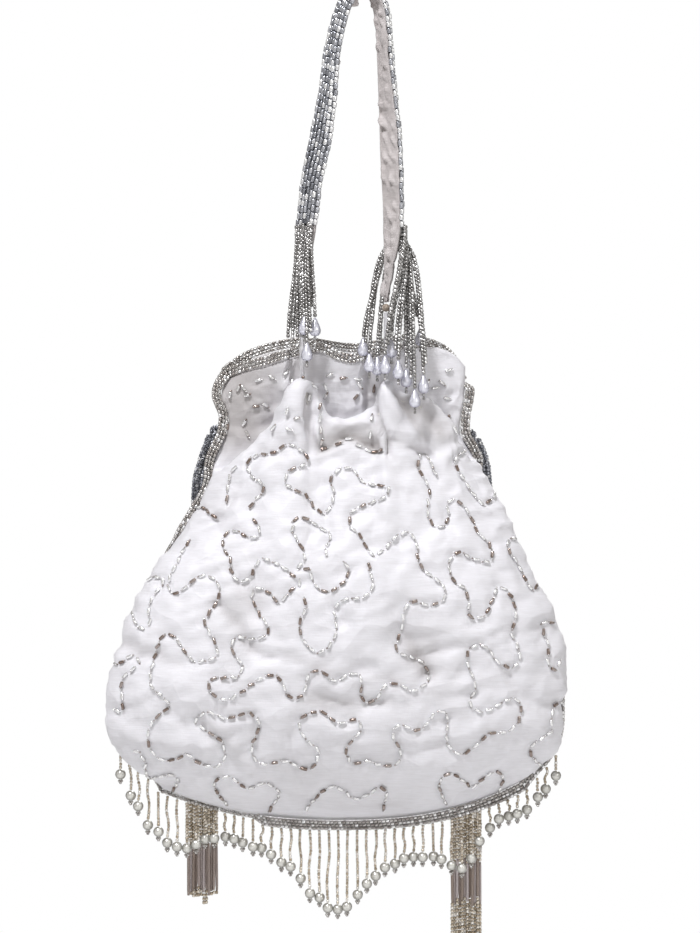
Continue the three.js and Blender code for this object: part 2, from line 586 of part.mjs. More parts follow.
function fringe() {
  const line = headerLine();
  const ring = [];
  line.forEach((place) => {
    const seam = vec(place.x, borderShift(place.tuck), place.z);
    const inner = seam.clone().addScaledVector(place.outward, HEADER_IN);
    const outer = seam.clone().addScaledVector(place.outward, HEADER_OUT);
    const half = vec(0, HEADER_HALF, 0);
    ring.push(inner.clone().sub(half), inner.clone().add(half));
    ring.push(outer.clone().add(half), outer.clone().sub(half));
  });
  const index = [0, 1, 2, 0, 2, 3];
  const last = (line.length - 1) * 4;
  index.push(last, last + 2, last + 1, last, last + 3, last + 2);
  for (let i = 0; i < line.length - 1; i += 1) {
    for (let k = 0; k < 4; k += 1) {
      const [a, b] = [i * 4 + k, i * 4 + ((k + 1) % 4)];
      index.push(a, a + 4, b + 4, a, b + 4, b);
    }
  }
  let whole = solid(polyhedron(ring, index));
  const pitch = (FRINGE_RIGHT - FRINGE_LEFT) / (FRINGE_COUNT - 1);
  const stagger = Math.sqrt(Math.max(0, (2 * PEARL_RADIUS + PEARL_GAP) ** 2 - pitch ** 2)) / 2;
  for (let i = 0; i < FRINGE_COUNT; i += 1) {
    const x = FRINGE_LEFT + pitch * i;
    const top = headerEdge(line, x);
    const pearl = fringeLine(x) - top.z;
    const outline = [
      [0, 0.5], [STRAND_RADIUS, 0.5], [STRAND_RADIUS, pearl + PEARL_RADIUS], [PEARL_RADIUS, pearl + 1],
      [PEARL_RADIUS, pearl - 1], [0.9, pearl - PEARL_RADIUS],
      [0.9, pearl - PEARL_RADIUS - FRINGE_TIP], [0, pearl - PEARL_RADIUS - FRINGE_TIP],
    ];
    const lean = ((i % 2 ? 1 : -1) * stagger) / pearl;
    const leaning = new THREE.Matrix4().set(1, 0, 0, 0, 0, 1, lean, 0, 0, 0, 1, 0, 0, 0, 0, 1);
    const strand = lathe(outline, 5).applyMatrix4(leaning).translate(x, top.y, top.z);
    whole = whole.add(solid(strand));
  }
  return geometryOf(whole);
}

// The header's outer edge at a place across the bag.
function headerEdge(line, x) {
  const outer = line.map((place) => ({
    x: place.x + place.outward.x * (HEADER_OUT - 0.4),
    z: place.z + place.outward.z * (HEADER_OUT - 0.4),
    y: borderShift(place.tuck),
  }));
  let i = 0;
  while (i < outer.length - 2 && outer[i + 1].x < x) i += 1;
  const share = THREE.MathUtils.clamp((x - outer[i].x) / (outer[i + 1].x - outer[i].x), 0, 1);
  const mix = (key) => outer[i][key] + (outer[i + 1][key] - outer[i][key]) * share;
  return { y: mix("y"), z: mix("z") };
}

function solid(geometry) {
  const bare = geometry.clone();
  bare.deleteAttribute("normal");
  bare.deleteAttribute("uv");
  const merged = mergeVertices(bare, 1e-4);
  const vertProperties = new Float32Array(merged.attributes.position.array);
  const triVerts = new Uint32Array(merged.index.array);
  return new wasm.Manifold(new wasm.Mesh({ numProp: 3, vertProperties, triVerts }));
}

function geometryOf(body) {
  const mesh = body.getMesh();
  const geometry = new THREE.BufferGeometry();
  geometry.setAttribute("position", new THREE.BufferAttribute(new Float32Array(mesh.vertProperties), 3));
  geometry.setIndex(new THREE.BufferAttribute(new Uint32Array(mesh.triVerts), 1));
  return geometry;
}

// The drawstring: one cord from the left knot down behind the left ear, along the channel and up
// behind the right ear to the right knot.
function drawstring() {
  const leg = [[-18.6, 250], [-18.6, 242], [-15.6, 233], [-12.2, 223], [-9.7, 214], [-8.7, 208.5]];
  const [leftX, rightX] = KNOT_X;
  const knotFoot = (x) => vec(x, KNOT_Y, KNOT_Z - KNOT_RADIUS - RUN_GAP);
  const down = leg.map(([y, z]) => vec(leftX, y, z));
  const along = [-14.5, -4, 10, 18.5].map((x) => vec(x, CHANNEL_Y, CHANNEL_Z + CHANNEL_RISE));
  const up = leg.map(([y, z]) => vec(rightX, y, z)).reverse();
  return rod([knotFoot(leftX), ...down, ...along, ...up, knotFoot(rightX)], CORD_RADIUS, 40, 6);
}

function knot(radius) {
  return new THREE.IcosahedronGeometry(radius, 1);
}

// The long tassels that hang behind the bag from the sides of the neck. Each strand is listed by
// its offset from the middle of the bundle and by where it ends.
const SIDE_TASSELS = [
  {
    name: "left",
    route: [
      [-62.5, 6.9, 199], [-66, 9.6, 188], [-69, 14, 176], [-69.5, 24, 150], [-69, 32.5, 112],
      [-68.5, 34, 70],
    ],
    foot: [-68.5, 34],
    ends: [-31, -32, -31.5, -35.5, -31, -30.5],
  },
  {
    name: "right",
    route: [
      [65.5, 7.3, 197], [68.6, 9.6, 188], [70, 14, 176], [69, 24.5, 150], [65.5, 33, 112],
      [63.5, 34.5, 70],
    ],
    foot: [63, 34.5],
    ends: [-63, -64.5, -64, -65, -63.5, -64],
  },
];
const BUNDLE = [
  [-6.4, 0], [-3.8, 0.9], [-1.2, 0], [1.4, 0.9], [4, 0], [6.6, 0.9],
];

function sideStrand(tassel, i) {
  const [across, back] = BUNDLE[i];
  const spread = (share) => BUNDLE_TOP_SHARE + (1 - BUNDLE_TOP_SHARE) * share;
  const lift = (share) => back * 2.6 * (1 - share) + back * share;
  const points = tassel.route.map(([x, y, z], k) => {
    const share = k / (tassel.route.length - 1);
    return vec(x + across * spread(share), y + lift(share), z);
  });
  points.push(vec(tassel.foot[0] + across, tassel.foot[1] + back, 0));
  points.push(vec(tassel.foot[0] + across, tassel.foot[1] + back, tassel.ends[i]));
  return rod(points, STRAND_RADIUS, 14, 4);
}

const group = new THREE.Group();
const materials = Object.fromEntries(
  Object.entries(COLOURS).map(([name, look]) => [name, new THREE.MeshStandardMaterial({ ...look, name })]),
);

function add(name, geometry, look, position = [0, 0, 0]) {
  const mesh = new THREE.Mesh(geometry, materials[look]);
  mesh.name = name;
  mesh.position.set(...position);
  group.add(mesh);
}

const FRONT_STEPS = [3, 2, 2, 1, 1, 1, 2, 2, 1, 2, 2, 1, 1, 1];
const BACK_STEPS = [2, 2, 1, 1, 1, 1, 2, 1, 1, 1, 1, 1, 1, 1];
const LINING_STEPS = [2, 1, 1, 1, 1];

function addPanel(name, panel, columns, steps) {
  const outer = panelGrid(panel, columns, steps);
  let cloth = solid(shell(outer, offsetGrid(outer, panel.sign, CLOTH), panel.sign > 0));
  for (const line of panel.lines) cloth = cloth.add(beadLine(outer, panel.sign, line));
  add(name, geometryOf(cloth), "silk");
}

function addLining(name, panel) {
  const face = panelGrid(panel, 20, LINING_STEPS, LINING_STEPS.length, LINING_EDGE, LINING_FOOT);
  const outer = offsetGrid(face, panel.sign, CLOTH + LINING_GAP);
  const inner = offsetGrid(face, panel.sign, CLOTH + LINING_GAP + LINING_CLOTH);
  add(name, shell(outer, inner, panel.sign > 0), "lining");
}

addPanel("front_panel", FRONT, 38, FRONT_STEPS);
addPanel("back_panel", BACK, 24, BACK_STEPS);
addLining("front_lining", FRONT);
addLining("back_lining", BACK);
add("front_bead_border", borderRing(FRONT), "beads");
add("back_bead_border", borderRing(BACK), "beads");
add("pearl_fringe", fringe(), "pearl");
add("drawstring", drawstring(), "cord");
add("left_knot", knot(KNOT_RADIUS), "cord", [KNOT_X[0], KNOT_Y, KNOT_Z]);
add("right_knot", knot(KNOT_RADIUS), "cord", [KNOT_X[1], KNOT_Y, KNOT_Z]);
add("handle_tape", handleTape, "lining");
add("handle_bead_facing", handleFacing, "beads");

for (const [name, side, strands] of [["left", -1, LEFT_STRANDS], ["right", 1, RIGHT_STRANDS]]) {
  strands.forEach((strand, i) => {
    add(`${name}_strand_${i + 1}`, handleStrand(side, strand), "beads");
    const [x, y, z] = strand.end;
    if (strand.drop) add(`${name}_drop_${i + 1}`, dropPearl(), "pearl", [x, y, z - RUN_GAP]);
  });
}

for (const tassel of SIDE_TASSELS) {
  const [x, y, z] = tassel.route[0];
  add(`${tassel.name}_side_knot`, knot(SIDE_KNOT_RADIUS), "cord", [x, y, z + SIDE_KNOT_RADIUS + RUN_GAP]);
  BUNDLE.forEach((_, i) => add(`${tassel.name}_side_strand_${i + 1}`, sideStrand(tassel, i), "bugle"));
}

// The handle hangs on whatever passes under the top of its loop.
const hangPoint = vec(HANDLE_TOP_X, HANDLE_Y, HANDLE_TOP_Z - TAPE_THICKNESS / 2);
group.position.copy(hangPoint.negate());

export default group;
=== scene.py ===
# %% [markdown]
# Beaded silk potli bag, dressed over its packed construction.
#
# A potli is a small drawstring pouch. This one is two panels of white raw silk, sewn together with
# a bead border round each panel, drawn up under the legs of a beaded strap handle. Bead tassels hang
# from the handle and behind the bag, and a fringe of pearls hangs in scallops from the bottom seam.
# The frame brings in the solids and the bodies that move. Every visible surface is then made anew
# around them, in metres, in the same place.

# %% Load the frame
import math
import random

import bpy
import numpy as np
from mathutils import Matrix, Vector, noise
from mathutils.bvhtree import BVHTree
from mathutils.kdtree import KDTree


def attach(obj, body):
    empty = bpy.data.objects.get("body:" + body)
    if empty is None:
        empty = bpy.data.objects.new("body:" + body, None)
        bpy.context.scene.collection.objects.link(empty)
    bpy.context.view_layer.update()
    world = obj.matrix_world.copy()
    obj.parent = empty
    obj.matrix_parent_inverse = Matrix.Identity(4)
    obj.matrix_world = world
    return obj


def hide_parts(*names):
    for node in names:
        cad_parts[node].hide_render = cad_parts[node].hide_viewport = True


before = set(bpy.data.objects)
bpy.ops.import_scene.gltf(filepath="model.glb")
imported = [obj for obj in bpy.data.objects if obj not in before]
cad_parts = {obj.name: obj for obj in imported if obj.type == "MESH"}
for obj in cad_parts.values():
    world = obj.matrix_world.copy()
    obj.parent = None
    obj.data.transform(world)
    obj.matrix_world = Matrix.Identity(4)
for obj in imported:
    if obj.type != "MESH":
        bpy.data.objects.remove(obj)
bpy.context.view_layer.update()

# %% [markdown]
# The bag is easiest to draw from its own middle line, in millimetres: x across, y from front to
# back, z up from the lowest border bead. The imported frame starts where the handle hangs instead.
# One function turns the first into the second, so every size below can be read as a real size.

# %% From the bag's millimetres to the frame
MM = 0.001
HANG_POINT = np.array([11.5, -14.0, 423.25])


def placed(points):
    return (np.asarray(points, dtype=float) - HANG_POINT) * MM


# A photograph pixel, read on the 700 by 933 frame, as a place on the bag's front.
PIXELS_PER_MM = 2.0
PHOTO_MIDDLE = 340.0
PHOTO_FOOT = 832.0


def from_photo(pixels):
    pixels = np.asarray(pixels, dtype=float)
    x = (pixels[:, 0] - PHOTO_MIDDLE) / PIXELS_PER_MM
    z = (PHOTO_FOOT - pixels[:, 1]) / PIXELS_PER_MM
    return np.stack([x, z], axis=1)

# %% [markdown]
# The camera comes first, so that each later step can be judged in the photograph's own frame. The
# photograph looks straight at the bag from a distance, and cuts off the top of the handle and the
# ends of the tassels. A long lens far away gives the same flat view.

# %% Camera
PHOTO_SIZE = (0.350, 0.4665)
PHOTO_CENTRE = (-0.0065, -0.2405)
CAMERA_DISTANCE = 2.4
SENSOR_HEIGHT = 24.0

camera_data = bpy.data.cameras.new("camera")
camera_data.sensor_fit = "VERTICAL"
camera_data.sensor_height = SENSOR_HEIGHT
camera_data.lens = SENSOR_HEIGHT * CAMERA_DISTANCE / PHOTO_SIZE[1]
camera = bpy.data.objects.new("camera", camera_data)
camera.location = (PHOTO_CENTRE[0], -CAMERA_DISTANCE, PHOTO_CENTRE[1])
camera.rotation_euler = (math.pi / 2, 0, 0)
bpy.context.scene.collection.objects.link(camera)
bpy.context.scene.camera = camera
print("lens", round(camera_data.lens, 1), "mm")

# %% [markdown]
# Small helpers for curves. `profile` reads a smooth line through listed pairs. `centripetal` joins
# rows of points with a curve that never loops where the points lie close together, which matters at
# the neck, where the cloth turns over within a few millimetres.

# %% Helpers for curves


def profile(pairs):
    places, heights = np.array(pairs, dtype=float).T

    def read(at):
        i = np.clip(np.searchsorted(places, at) - 1, 0, len(places) - 2)
        t = np.clip((at - places[i]) / (places[i + 1] - places[i]), 0, 1)
        return heights[i] + (heights[i + 1] - heights[i]) * t * t * (3 - 2 * t)

    return read


def bell(x, centre, width):
    return np.exp(-(((x - centre) / width) ** 2))


def centripetal(points, steps):
    """Points between listed points: steps is how many for each gap. points may hold whole rows."""
    points = np.asarray(points, dtype=float)
    ends = [2 * points[0] - points[1], *points, 2 * points[-1] - points[-2]]
    made = []
    for i in range(len(points) - 1):
        a, b, c, d = ends[i : i + 4]
        gaps = (b - a, c - b, d - c)
        spans = [np.linalg.norm(gap, axis=-1, keepdims=True) ** 0.5 + 1e-9 for gap in gaps]
        first = ((b - a) / spans[0] - (c - a) / (spans[0] + spans[1]) + (c - b) / spans[1]) * spans[1]
        last = ((c - b) / spans[1] - (d - b) / (spans[1] + spans[2]) + (d - c) / spans[2]) * spans[1]
        for k in range(steps[i]):
            t = k / steps[i]
            cubic = 2 * b - 2 * c + first + last
            square = -3 * b + 3 * c - 2 * first - last
            made.append(b + first * t + square * t**2 + cubic * t**3)
    made.append(points[-1])
    return np.array(made)


def smooth_line(points, steps=12):
    return centripetal(points, [steps] * (len(points) - 1))


def smooth_profile(pairs):
    """A smooth line through listed pairs that keeps its slope where it passes them."""
    places, heights = smooth_line(pairs, 10).T
    return lambda at: np.interp(at, places, heights)


def evenly(line, pitch, closed=False):
    """Places and directions along a line, as near the pitch as divides it evenly."""
    if closed:
        line = np.vstack([line, line[:1]])
    gaps = np.linalg.norm(np.diff(line, axis=0), axis=1)
    run = np.concatenate([[0], np.cumsum(gaps)])
    count = max(1, round(run[-1] / pitch))
    at = (np.arange(count) + 0.5) * run[-1] / count
    centres = np.stack([np.interp(at, run, axis) for axis in line.T], axis=1)
    ahead = np.stack([np.interp(at + pitch / 4, run, axis) for axis in line.T], axis=1)
    behind = np.stack([np.interp(at - pitch / 4, run, axis) for axis in line.T], axis=1)
    directions = ahead - behind
    return centres, directions / np.linalg.norm(directions, axis=1, keepdims=True)

# %% [markdown]
# Each silk panel is a grid. Its rows run from the bottom seam to the ruffle's top edge, and each row
# has its silhouette on the left and right. Where the cloth hangs over its own seam, the seam is
# tucked in behind the silhouette. Fifteen rows are enough, because a smooth curve joins them.

# %% The rows of a panel
# name, left x and z, right x and z, tuck on the left and right, share of the depth front and back
ROWS = [
    ("bottom", (-89, 21), (90, 24), (0, 0), 0, 0),
    ("lower", (-111, 43), (109, 44), (5, 2), 0.68, 0.7),
    ("belly", (-117, 64), (112.5, 66), (6, 3), 0.94, 0.95),
    ("middle", (-110.5, 97), (111.5, 98), (6, 5), 1, 1),
    ("upper", (-96, 128), (99.5, 124), (3, 6), 0.95, 0.93),
    ("high", (-80, 149.5), (87, 151), (0, 6), 0.8, 0.8),
    ("shoulder", (-69, 168), (77, 171), (0, 5), 0.63, 0.62),
    ("fold_front", (-65, 177), (71, 181), (0, 3), 0.56, 0.52),
    ("fold_top", (-64.5, 179.5), (70, 183.5), (0, 2), 0.46, 0.44),
    ("fold_back", (-64, 182.5), (69, 186), (0, 1), 0.37, 0.36),
    ("channel", (-62, 188), (65, 190.5), (0, 0), 0.2, 0.24),
    ("neck", (-57, 199), (60.5, 199), (0, 0), 0.16, 0.2),
    ("ruffle_low", (-56, 209), (60.5, 208), (0, 0), 0.19, 0.24),
    ("ruffle", (-59.5, 220), (62.5, 219.5), (0, 0), 0.24, 0.32),
    ("ruffle_top", (-55, 227), (63, 233), (0, 0), 0.31, 0.42),
]
ROW_NAMES = [row[0] for row in ROWS]
FOLD = ROW_NAMES.index("fold_front")
CHANNEL = ROW_NAMES.index("channel")
TOP = len(ROWS) - 1
CHANNEL_Z = 197
SEAM_HALF_GAP = 0.3

front_fold_line = smooth_profile([
    (-64, 178), (-54, 187), (-39.5, 199.5), (-26, 219), (-20.5, 225.5), (-12, 221), (-6, 208.5),
    (8, 208.5), (16, 213), (22, 226), (31, 221), (43.5, 217), (54, 208), (60, 195), (70, 183),
])
back_fold_line = smooth_profile([
    (-64, 178), (-52, 190), (-36, 203), (-22, 208), (-8, 202), (6, 209), (20, 204), (36, 208),
    (52, 193), (70, 183),
])
front_top_line = smooth_profile([
    (-56, 227), (-48.5, 230), (-37, 233), (-25.5, 236.5), (-10, 239.5), (-2.5, 236), (5.5, 234),
    (12, 235.5), (24, 239), (38, 242), (50, 242), (57, 239), (63, 233),
])
back_top_line = smooth_profile([
    (-56, 229), (-44, 237), (-20, 243), (8, 240), (34, 244.5), (50, 240), (58, 231),
])
EARS = (-20.5, 22.5)


# How far the ruffle's cloth stands forward across its width: two folds, each with a sharp right edge.
RUFFLE_FOLDS = np.array([
    (-60, 0), (-48, -1.2), (-40, 0.6), (-33, 0.2), (-26, 3.0), (-24.4, -2.6), (-13, -2.4), (-6, 0.8),
    (0, 0.6), (11.4, 3.0), (13.2, -3.8), (17, -3.2), (24, 0.6), (36, 1.6), (48, 0), (60, 0.8),
]).T


def above_channel(row):
    return max(0, (row - CHANNEL) / (TOP - CHANNEL))


def front_folds(x, row):
    body = max(0, 1 - abs(row - FOLD) / 3)
    ears = bell(x, EARS[0], 7) + bell(x, EARS[1], 7)
    creases = bell(x, EARS[0] + 5.5, 2.6) + bell(x, EARS[1] - 6, 2.6) + bell(x, 42, 4) * 0.6
    pouch = {FOLD - 1: -3.5, FOLD: 1.2}.get(row, 0) * bell(x, sum(EARS) / 2 + 2.5, 11)
    pleats = 1.1 * np.cos(x / 4.1) * body * bell(x, 0, 52)
    waves = np.interp(x, *RUFFLE_FOLDS)
    return 3 * ears * body - 3 * creases * body + pouch + pleats + waves * above_channel(row)


def back_folds(x, row):
    body = max(0, 1 - abs(row - FOLD) / 3.5)
    waves = 2.4 * above_channel(row) * np.cos(x / 3.6 + 1)
    return (1.6 * np.cos(x / 4.6) * body + waves) * bell(x, 0, 50)


FRONT = dict(sign=-1, depth=40, tucked=True, fold=front_fold_line, top=front_top_line, folds=front_folds)
BACK = dict(sign=1, depth=34, tucked=False, fold=back_fold_line, top=back_top_line, folds=back_folds)


def panel_row(panel, row, u):
    """One row of a panel, for places u from -1 at the left seam to 1 at the right seam."""
    _, left, right, tuck, front_share, back_share = ROWS[row]
    middle = (left[0] + right[0]) / 2
    silhouette = right[0] - middle
    inset = np.where(u < 0, tuck[0], tuck[1])
    past = np.arccos(1 - inset / silhouette) if panel["tucked"] else 0 * u
    half = silhouette if panel["tucked"] else silhouette - inset
    angle = np.abs(u) * (math.pi / 2 + past)
    x = middle + np.sign(u) * half * np.sin(angle)
    crown = (np.cos(angle) + np.sin(past)) / (1 + np.sin(past))
    z = left[1] + (right[1] - left[1]) * (u + 1) / 2
    inner = 1 - np.abs(u) ** 3
    fold, top = panel["fold"](x), panel["top"](x)
    if row == 0:
        z = 5 + (z - 5) * np.abs(x / 90) ** 2.4
    z = z - {1: 9, 2: 3}.get(row, 0) * inner
    if row == FOLD - 1:
        z = z + (np.minimum(fold - 12, 190) - z) * inner
    if FOLD <= row <= FOLD + 2:
        z = z + (fold - (3.2, 0, 3.6)[row - FOLD] - z) * inner
    channel = np.minimum(CHANNEL_Z, fold - 8)
    if row == CHANNEL:
        z = z + (channel - z) * inner
    if row == CHANNEL + 1:
        z = z + (np.maximum(channel + 7, 198) - z) * inner
    if CHANNEL + 1 < row < TOP:
        z = z + (channel + (top - channel) * above_channel(row) - z) * inner * 0.8
    if row == TOP:
        z = top
    fade = np.minimum(1, (1 - np.abs(u)) * 5)
    share = front_share if panel["sign"] < 0 else back_share
    depth = panel["depth"] * share * crown + panel["folds"](x, row) * fade
    return np.stack([x, panel["sign"] * (SEAM_HALF_GAP + np.maximum(depth, 0)), z], axis=1)


COLUMNS = 202
ROW_STEPS = [13, 12, 16, 16, 14, 20, 12, 5, 5, 6, 8, 6, 9, 9]


def panel_grid(panel):
    u = np.linspace(-1, 1, COLUMNS + 1)
    rows = [panel_row(panel, row, u) for row in range(len(ROWS))]
    return centripetal(rows, ROW_STEPS)


front_grid = panel_grid(FRONT)
back_grid = panel_grid(BACK)
print("panel grid", front_grid.shape)

# %% [markdown]
# Materials come before the pieces. Raw silk is a plain weave with thick and thin yarn, so fine
# horizontal slubs catch the light. Object coordinates are enough for it, because the panel is nearly
# flat to the viewer. Under the weave lies a crumple of flat facets, and painted shade, held in an
# attribute, darkens the silk in its deep creases, on the pocket and over the ruffles. Glass beads
# differ a little from one to the next, so each bead carries its own random tone, stored as an
# attribute on its corners and read by a colour ramp.

# %% Helpers for materials
BUMP_DISTANCE = 0.001


def new_material(name):
    material = bpy.data.materials.new(name)
    material.use_nodes = True
    tree = material.node_tree
    return material, tree, tree.nodes["Principled BSDF"]


def shader(surface, **sockets):
    for socket, value in sockets.items():
        surface.inputs[socket.replace("_", " ")].default_value = value


def noise_node(tree, scale, size=1.0, detail=3.0):
    """A noise pattern on object coordinates, stretched by scale along each axis."""
    coordinates = tree.nodes.new("ShaderNodeTexCoord")
    mapping = tree.nodes.new("ShaderNodeMapping")
    mapping.inputs["Scale"].default_value = scale
    pattern = tree.nodes.new("ShaderNodeTexNoise")
    pattern.inputs["Scale"].default_value = size
    pattern.inputs["Detail"].default_value = detail
    tree.links.new(coordinates.outputs["Object"], mapping.inputs["Vector"])
    tree.links.new(mapping.outputs["Vector"], pattern.inputs["Vector"])
    return pattern.outputs["Fac"]


def ramp_node(tree, source, colours):
    ramp = tree.nodes.new("ShaderNodeValToRGB")
    stops = ramp.color_ramp.elements
    while len(stops) < len(colours):
        stops.new(0.5)
    for stop, (position, colour) in zip(stops, colours):
        stop.position = position
        stop.color = (*colour, 1)
    tree.links.new(source, ramp.inputs["Fac"])
    return ramp.outputs["Color"]


def bump_node(tree, height, strength, distance=BUMP_DISTANCE, under=None):
    bump = tree.nodes.new("ShaderNodeBump")
    bump.inputs["Strength"].default_value = strength
    bump.inputs["Distance"].default_value = distance
    tree.links.new(height, bump.inputs["Height"])
    if under is not None:
        tree.links.new(under, bump.inputs["Normal"])
    return bump.outputs["Normal"]

# %% [markdown]
# The silk's own finish. Silk that has been pressed in the hand breaks into flat facets with crisp
# edges. A Voronoi pattern gives such facets, where plain noise would only give soft waves. Finer
# noise over it makes creases, slubs and threads.

# %% Silk and lining


def crumple_node(tree):
    """Flat facets with crisp edges between them, as in silk that has been pressed in the hand."""
    coordinates = tree.nodes.new("ShaderNodeTexCoord")
    mapping = tree.nodes.new("ShaderNodeMapping")
    mapping.inputs["Scale"].default_value = (48, 48, 80)
    wander = tree.nodes.new("ShaderNodeTexNoise")
    wander.inputs["Scale"].default_value = 35
    bend = tree.nodes.new("ShaderNodeVectorMath")
    bend.operation = "MULTIPLY_ADD"
    bend.inputs[1].default_value = (1.1, 1.1, 1.1)
    facets = tree.nodes.new("ShaderNodeTexVoronoi")
    facets.feature = "F1"
    facets.inputs["Scale"].default_value = 1.0
    tree.links.new(coordinates.outputs["Object"], mapping.inputs["Vector"])
    tree.links.new(coordinates.outputs["Object"], wander.inputs["Vector"])
    tree.links.new(wander.outputs["Color"], bend.inputs[0])
    tree.links.new(mapping.outputs["Vector"], bend.inputs[2])
    tree.links.new(bend.outputs["Vector"], facets.inputs["Vector"])
    return facets.outputs["Distance"]


# The colour of painted shade, which the silk turns toward in deep creases, on the pocket, over the ruffles
# and in the front's shaded patches.
PAINTED_SHADE_COLOUR = (0.30, 0.265, 0.24, 1)


def silk_material(name, light, dark):
    material, tree, surface = new_material(name)
    slubs = noise_node(tree, (150, 150, 2000))
    threads = noise_node(tree, (2300, 2300, 500))
    creases = noise_node(tree, (60, 60, 130), detail=5.0)
    colour = ramp_node(tree, slubs, [(0.25, dark), (0.7, light)])
    # Painted shade: the shade attribute mixes the silk's colour toward the painted shade colour.
    painted_shade = tree.nodes.new("ShaderNodeAttribute")
    painted_shade.attribute_name = "painted_shade"
    mix = tree.nodes.new("ShaderNodeMixRGB")
    mix.inputs["Color2"].default_value = PAINTED_SHADE_COLOUR
    tree.links.new(painted_shade.outputs["Fac"], mix.inputs["Fac"])
    tree.links.new(colour, mix.inputs["Color1"])
    tree.links.new(mix.outputs["Color"], surface.inputs["Base Color"])
    normal = bump_node(tree, crumple_node(tree), 0.62, 0.0024)
    normal = bump_node(tree, creases, 0.35, 0.0013, normal)
    normal = bump_node(tree, slubs, 0.15, 0.0003, normal)
    normal = bump_node(tree, threads, 0.3, 0.0002, normal)
    tree.links.new(normal, surface.inputs["Normal"])
    shader(surface, Roughness=0.55, Sheen_Weight=0.25, Sheen_Roughness=0.4)
    return material

# %% [markdown]
# Beads, pearls and cord. Each glass bead is lined with silver, so a metal with a clear coat comes
# nearer to it than clear glass would, and renders faster. A bead and a pearl both get painted shade
# toward the rim, which Layer Weight gives from every side.

# %% Beads, pearls and cord


def bead_material(name, colours, roughness=0.26, painted_rim_shade=0.3, metallic=0.75):
    """Silver-lined glass: a soft streak of light down the middle, and painted shade at the rim."""
    material, tree, surface = new_material(name)
    tone = tree.nodes.new("ShaderNodeAttribute")
    tone.attribute_name = "tone"
    colour = ramp_node(tree, tone.outputs["Fac"], colours)
    # Painted shade: the base colour grows darker toward the rim.
    facing = tree.nodes.new("ShaderNodeLayerWeight")
    facing.inputs["Blend"].default_value = 0.5
    painted_rim = ramp_node(tree, facing.outputs["Facing"], [(0.25, (1, 1, 1)), (0.8, (painted_rim_shade, painted_rim_shade, painted_rim_shade))])
    mix = tree.nodes.new("ShaderNodeMixRGB")
    mix.blend_type = "MULTIPLY"
    mix.inputs["Fac"].default_value = 1.0
    tree.links.new(colour, mix.inputs["Color1"])
    tree.links.new(painted_rim, mix.inputs["Color2"])
    tree.links.new(mix.outputs["Color"], surface.inputs["Base Color"])
    shader(surface, Roughness=roughness, Metallic=metallic, Coat_Weight=0.25, Coat_Roughness=0.2)
    return material


def pearl_material(name, light, dark):
    """Painted shade on a pearl: pale in the middle and darker toward the rim, under a clear coat."""
    material, tree, surface = new_material(name)
    # Painted shade: the colour turns from light to dark toward the rim.
    facing = tree.nodes.new("ShaderNodeLayerWeight")
    facing.inputs["Blend"].default_value = 0.5
    colour = ramp_node(tree, facing.outputs["Facing"], [(0.05, light), (0.7, dark)])
    tree.links.new(colour, surface.inputs["Base Color"])
    shader(surface, Roughness=0.22, Metallic=0.45, Coat_Weight=1.0, Coat_Roughness=0.08)
    return material


def cord_material(name, light, dark):
    material, tree, surface = new_material(name)
    fibres = noise_node(tree, (1400, 1400, 500))
    colour = ramp_node(tree, fibres, [(0.35, dark), (0.65, light)])
    tree.links.new(colour, surface.inputs["Base Color"])
    tree.links.new(bump_node(tree, fibres, 0.6, 0.0004), surface.inputs["Normal"])
    shader(surface, Roughness=0.75, Sheen_Weight=0.3)
    return material

# %% [markdown]
# The bag's finishes. The beads have several silvers: greyer on the handle, slate at the top of the
# side tassels, beige in the fringe, and bright or dark by turns on the silk.

# %% The bag's finishes
SILK = silk_material("raw_silk", (0.88, 0.87, 0.905), (0.81, 0.795, 0.82))
LINING = silk_material("plain_lining", (0.82, 0.79, 0.76), (0.74, 0.71, 0.68))
STRAP_LINING = silk_material("strap_lining", (0.58, 0.54, 0.53), (0.48, 0.44, 0.43))
SILVER_BEADS = bead_material(
    "silver_beads",
    [
        (0.0, (0.34, 0.31, 0.29)), (0.3, (0.48, 0.455, 0.43)),
        (0.75, (0.66, 0.64, 0.62)), (0.9, (1.0, 1.0, 1.0)),
    ],
)
HANDLE_BEADS = bead_material(
    "handle_beads",
    [
        (0.0, (0.26, 0.27, 0.30)), (0.4, (0.46, 0.47, 0.50)),
        (0.75, (0.62, 0.63, 0.67)), (0.9, (1.0, 1.0, 1.0)),
    ],
)
TASSEL_BEADS = bead_material(
    "tassel_beads",
    [
        (0.0, (0.26, 0.25, 0.24)), (0.4, (0.40, 0.39, 0.38)),
        (0.8, (0.53, 0.52, 0.51)), (0.93, (0.95, 0.94, 0.93)),
    ],
)
SLATE_BEADS = bead_material(
    "slate_beads",
    [
        (0.0, (0.18, 0.185, 0.21)), (0.5, (0.34, 0.35, 0.39)),
        (0.8, (0.52, 0.53, 0.58)), (0.93, (1.0, 1.0, 1.0)),
    ],
)
TAUPE_BEADS = bead_material(
    "taupe_beads",
    [
        (0.0, (0.44, 0.36, 0.26)), (0.5, (0.66, 0.58, 0.46)),
        (0.85, (0.84, 0.77, 0.66)), (0.97, (1.0, 0.97, 0.92)),
    ],
)
LONG_BUGLES = bead_material(
    "long_bugles",
    [(0.0, (0.34, 0.27, 0.225)), (0.5, (0.44, 0.37, 0.34)), (1.0, (0.66, 0.60, 0.60))],
    roughness=0.6,
    painted_rim_shade=0.7,
    metallic=0.25,
)
BUGLE_BEADS = bead_material(
    "silver_lined_bugles",
    [
        (0.0, (0.24, 0.18, 0.15)), (0.14, (0.42, 0.36, 0.33)), (0.3, (0.80, 0.79, 0.78)),
        (0.7, (0.97, 0.97, 0.97)), (0.95, (1.0, 1.0, 1.0)),
    ],
    roughness=0.2,
    painted_rim_shade=0.66,
)
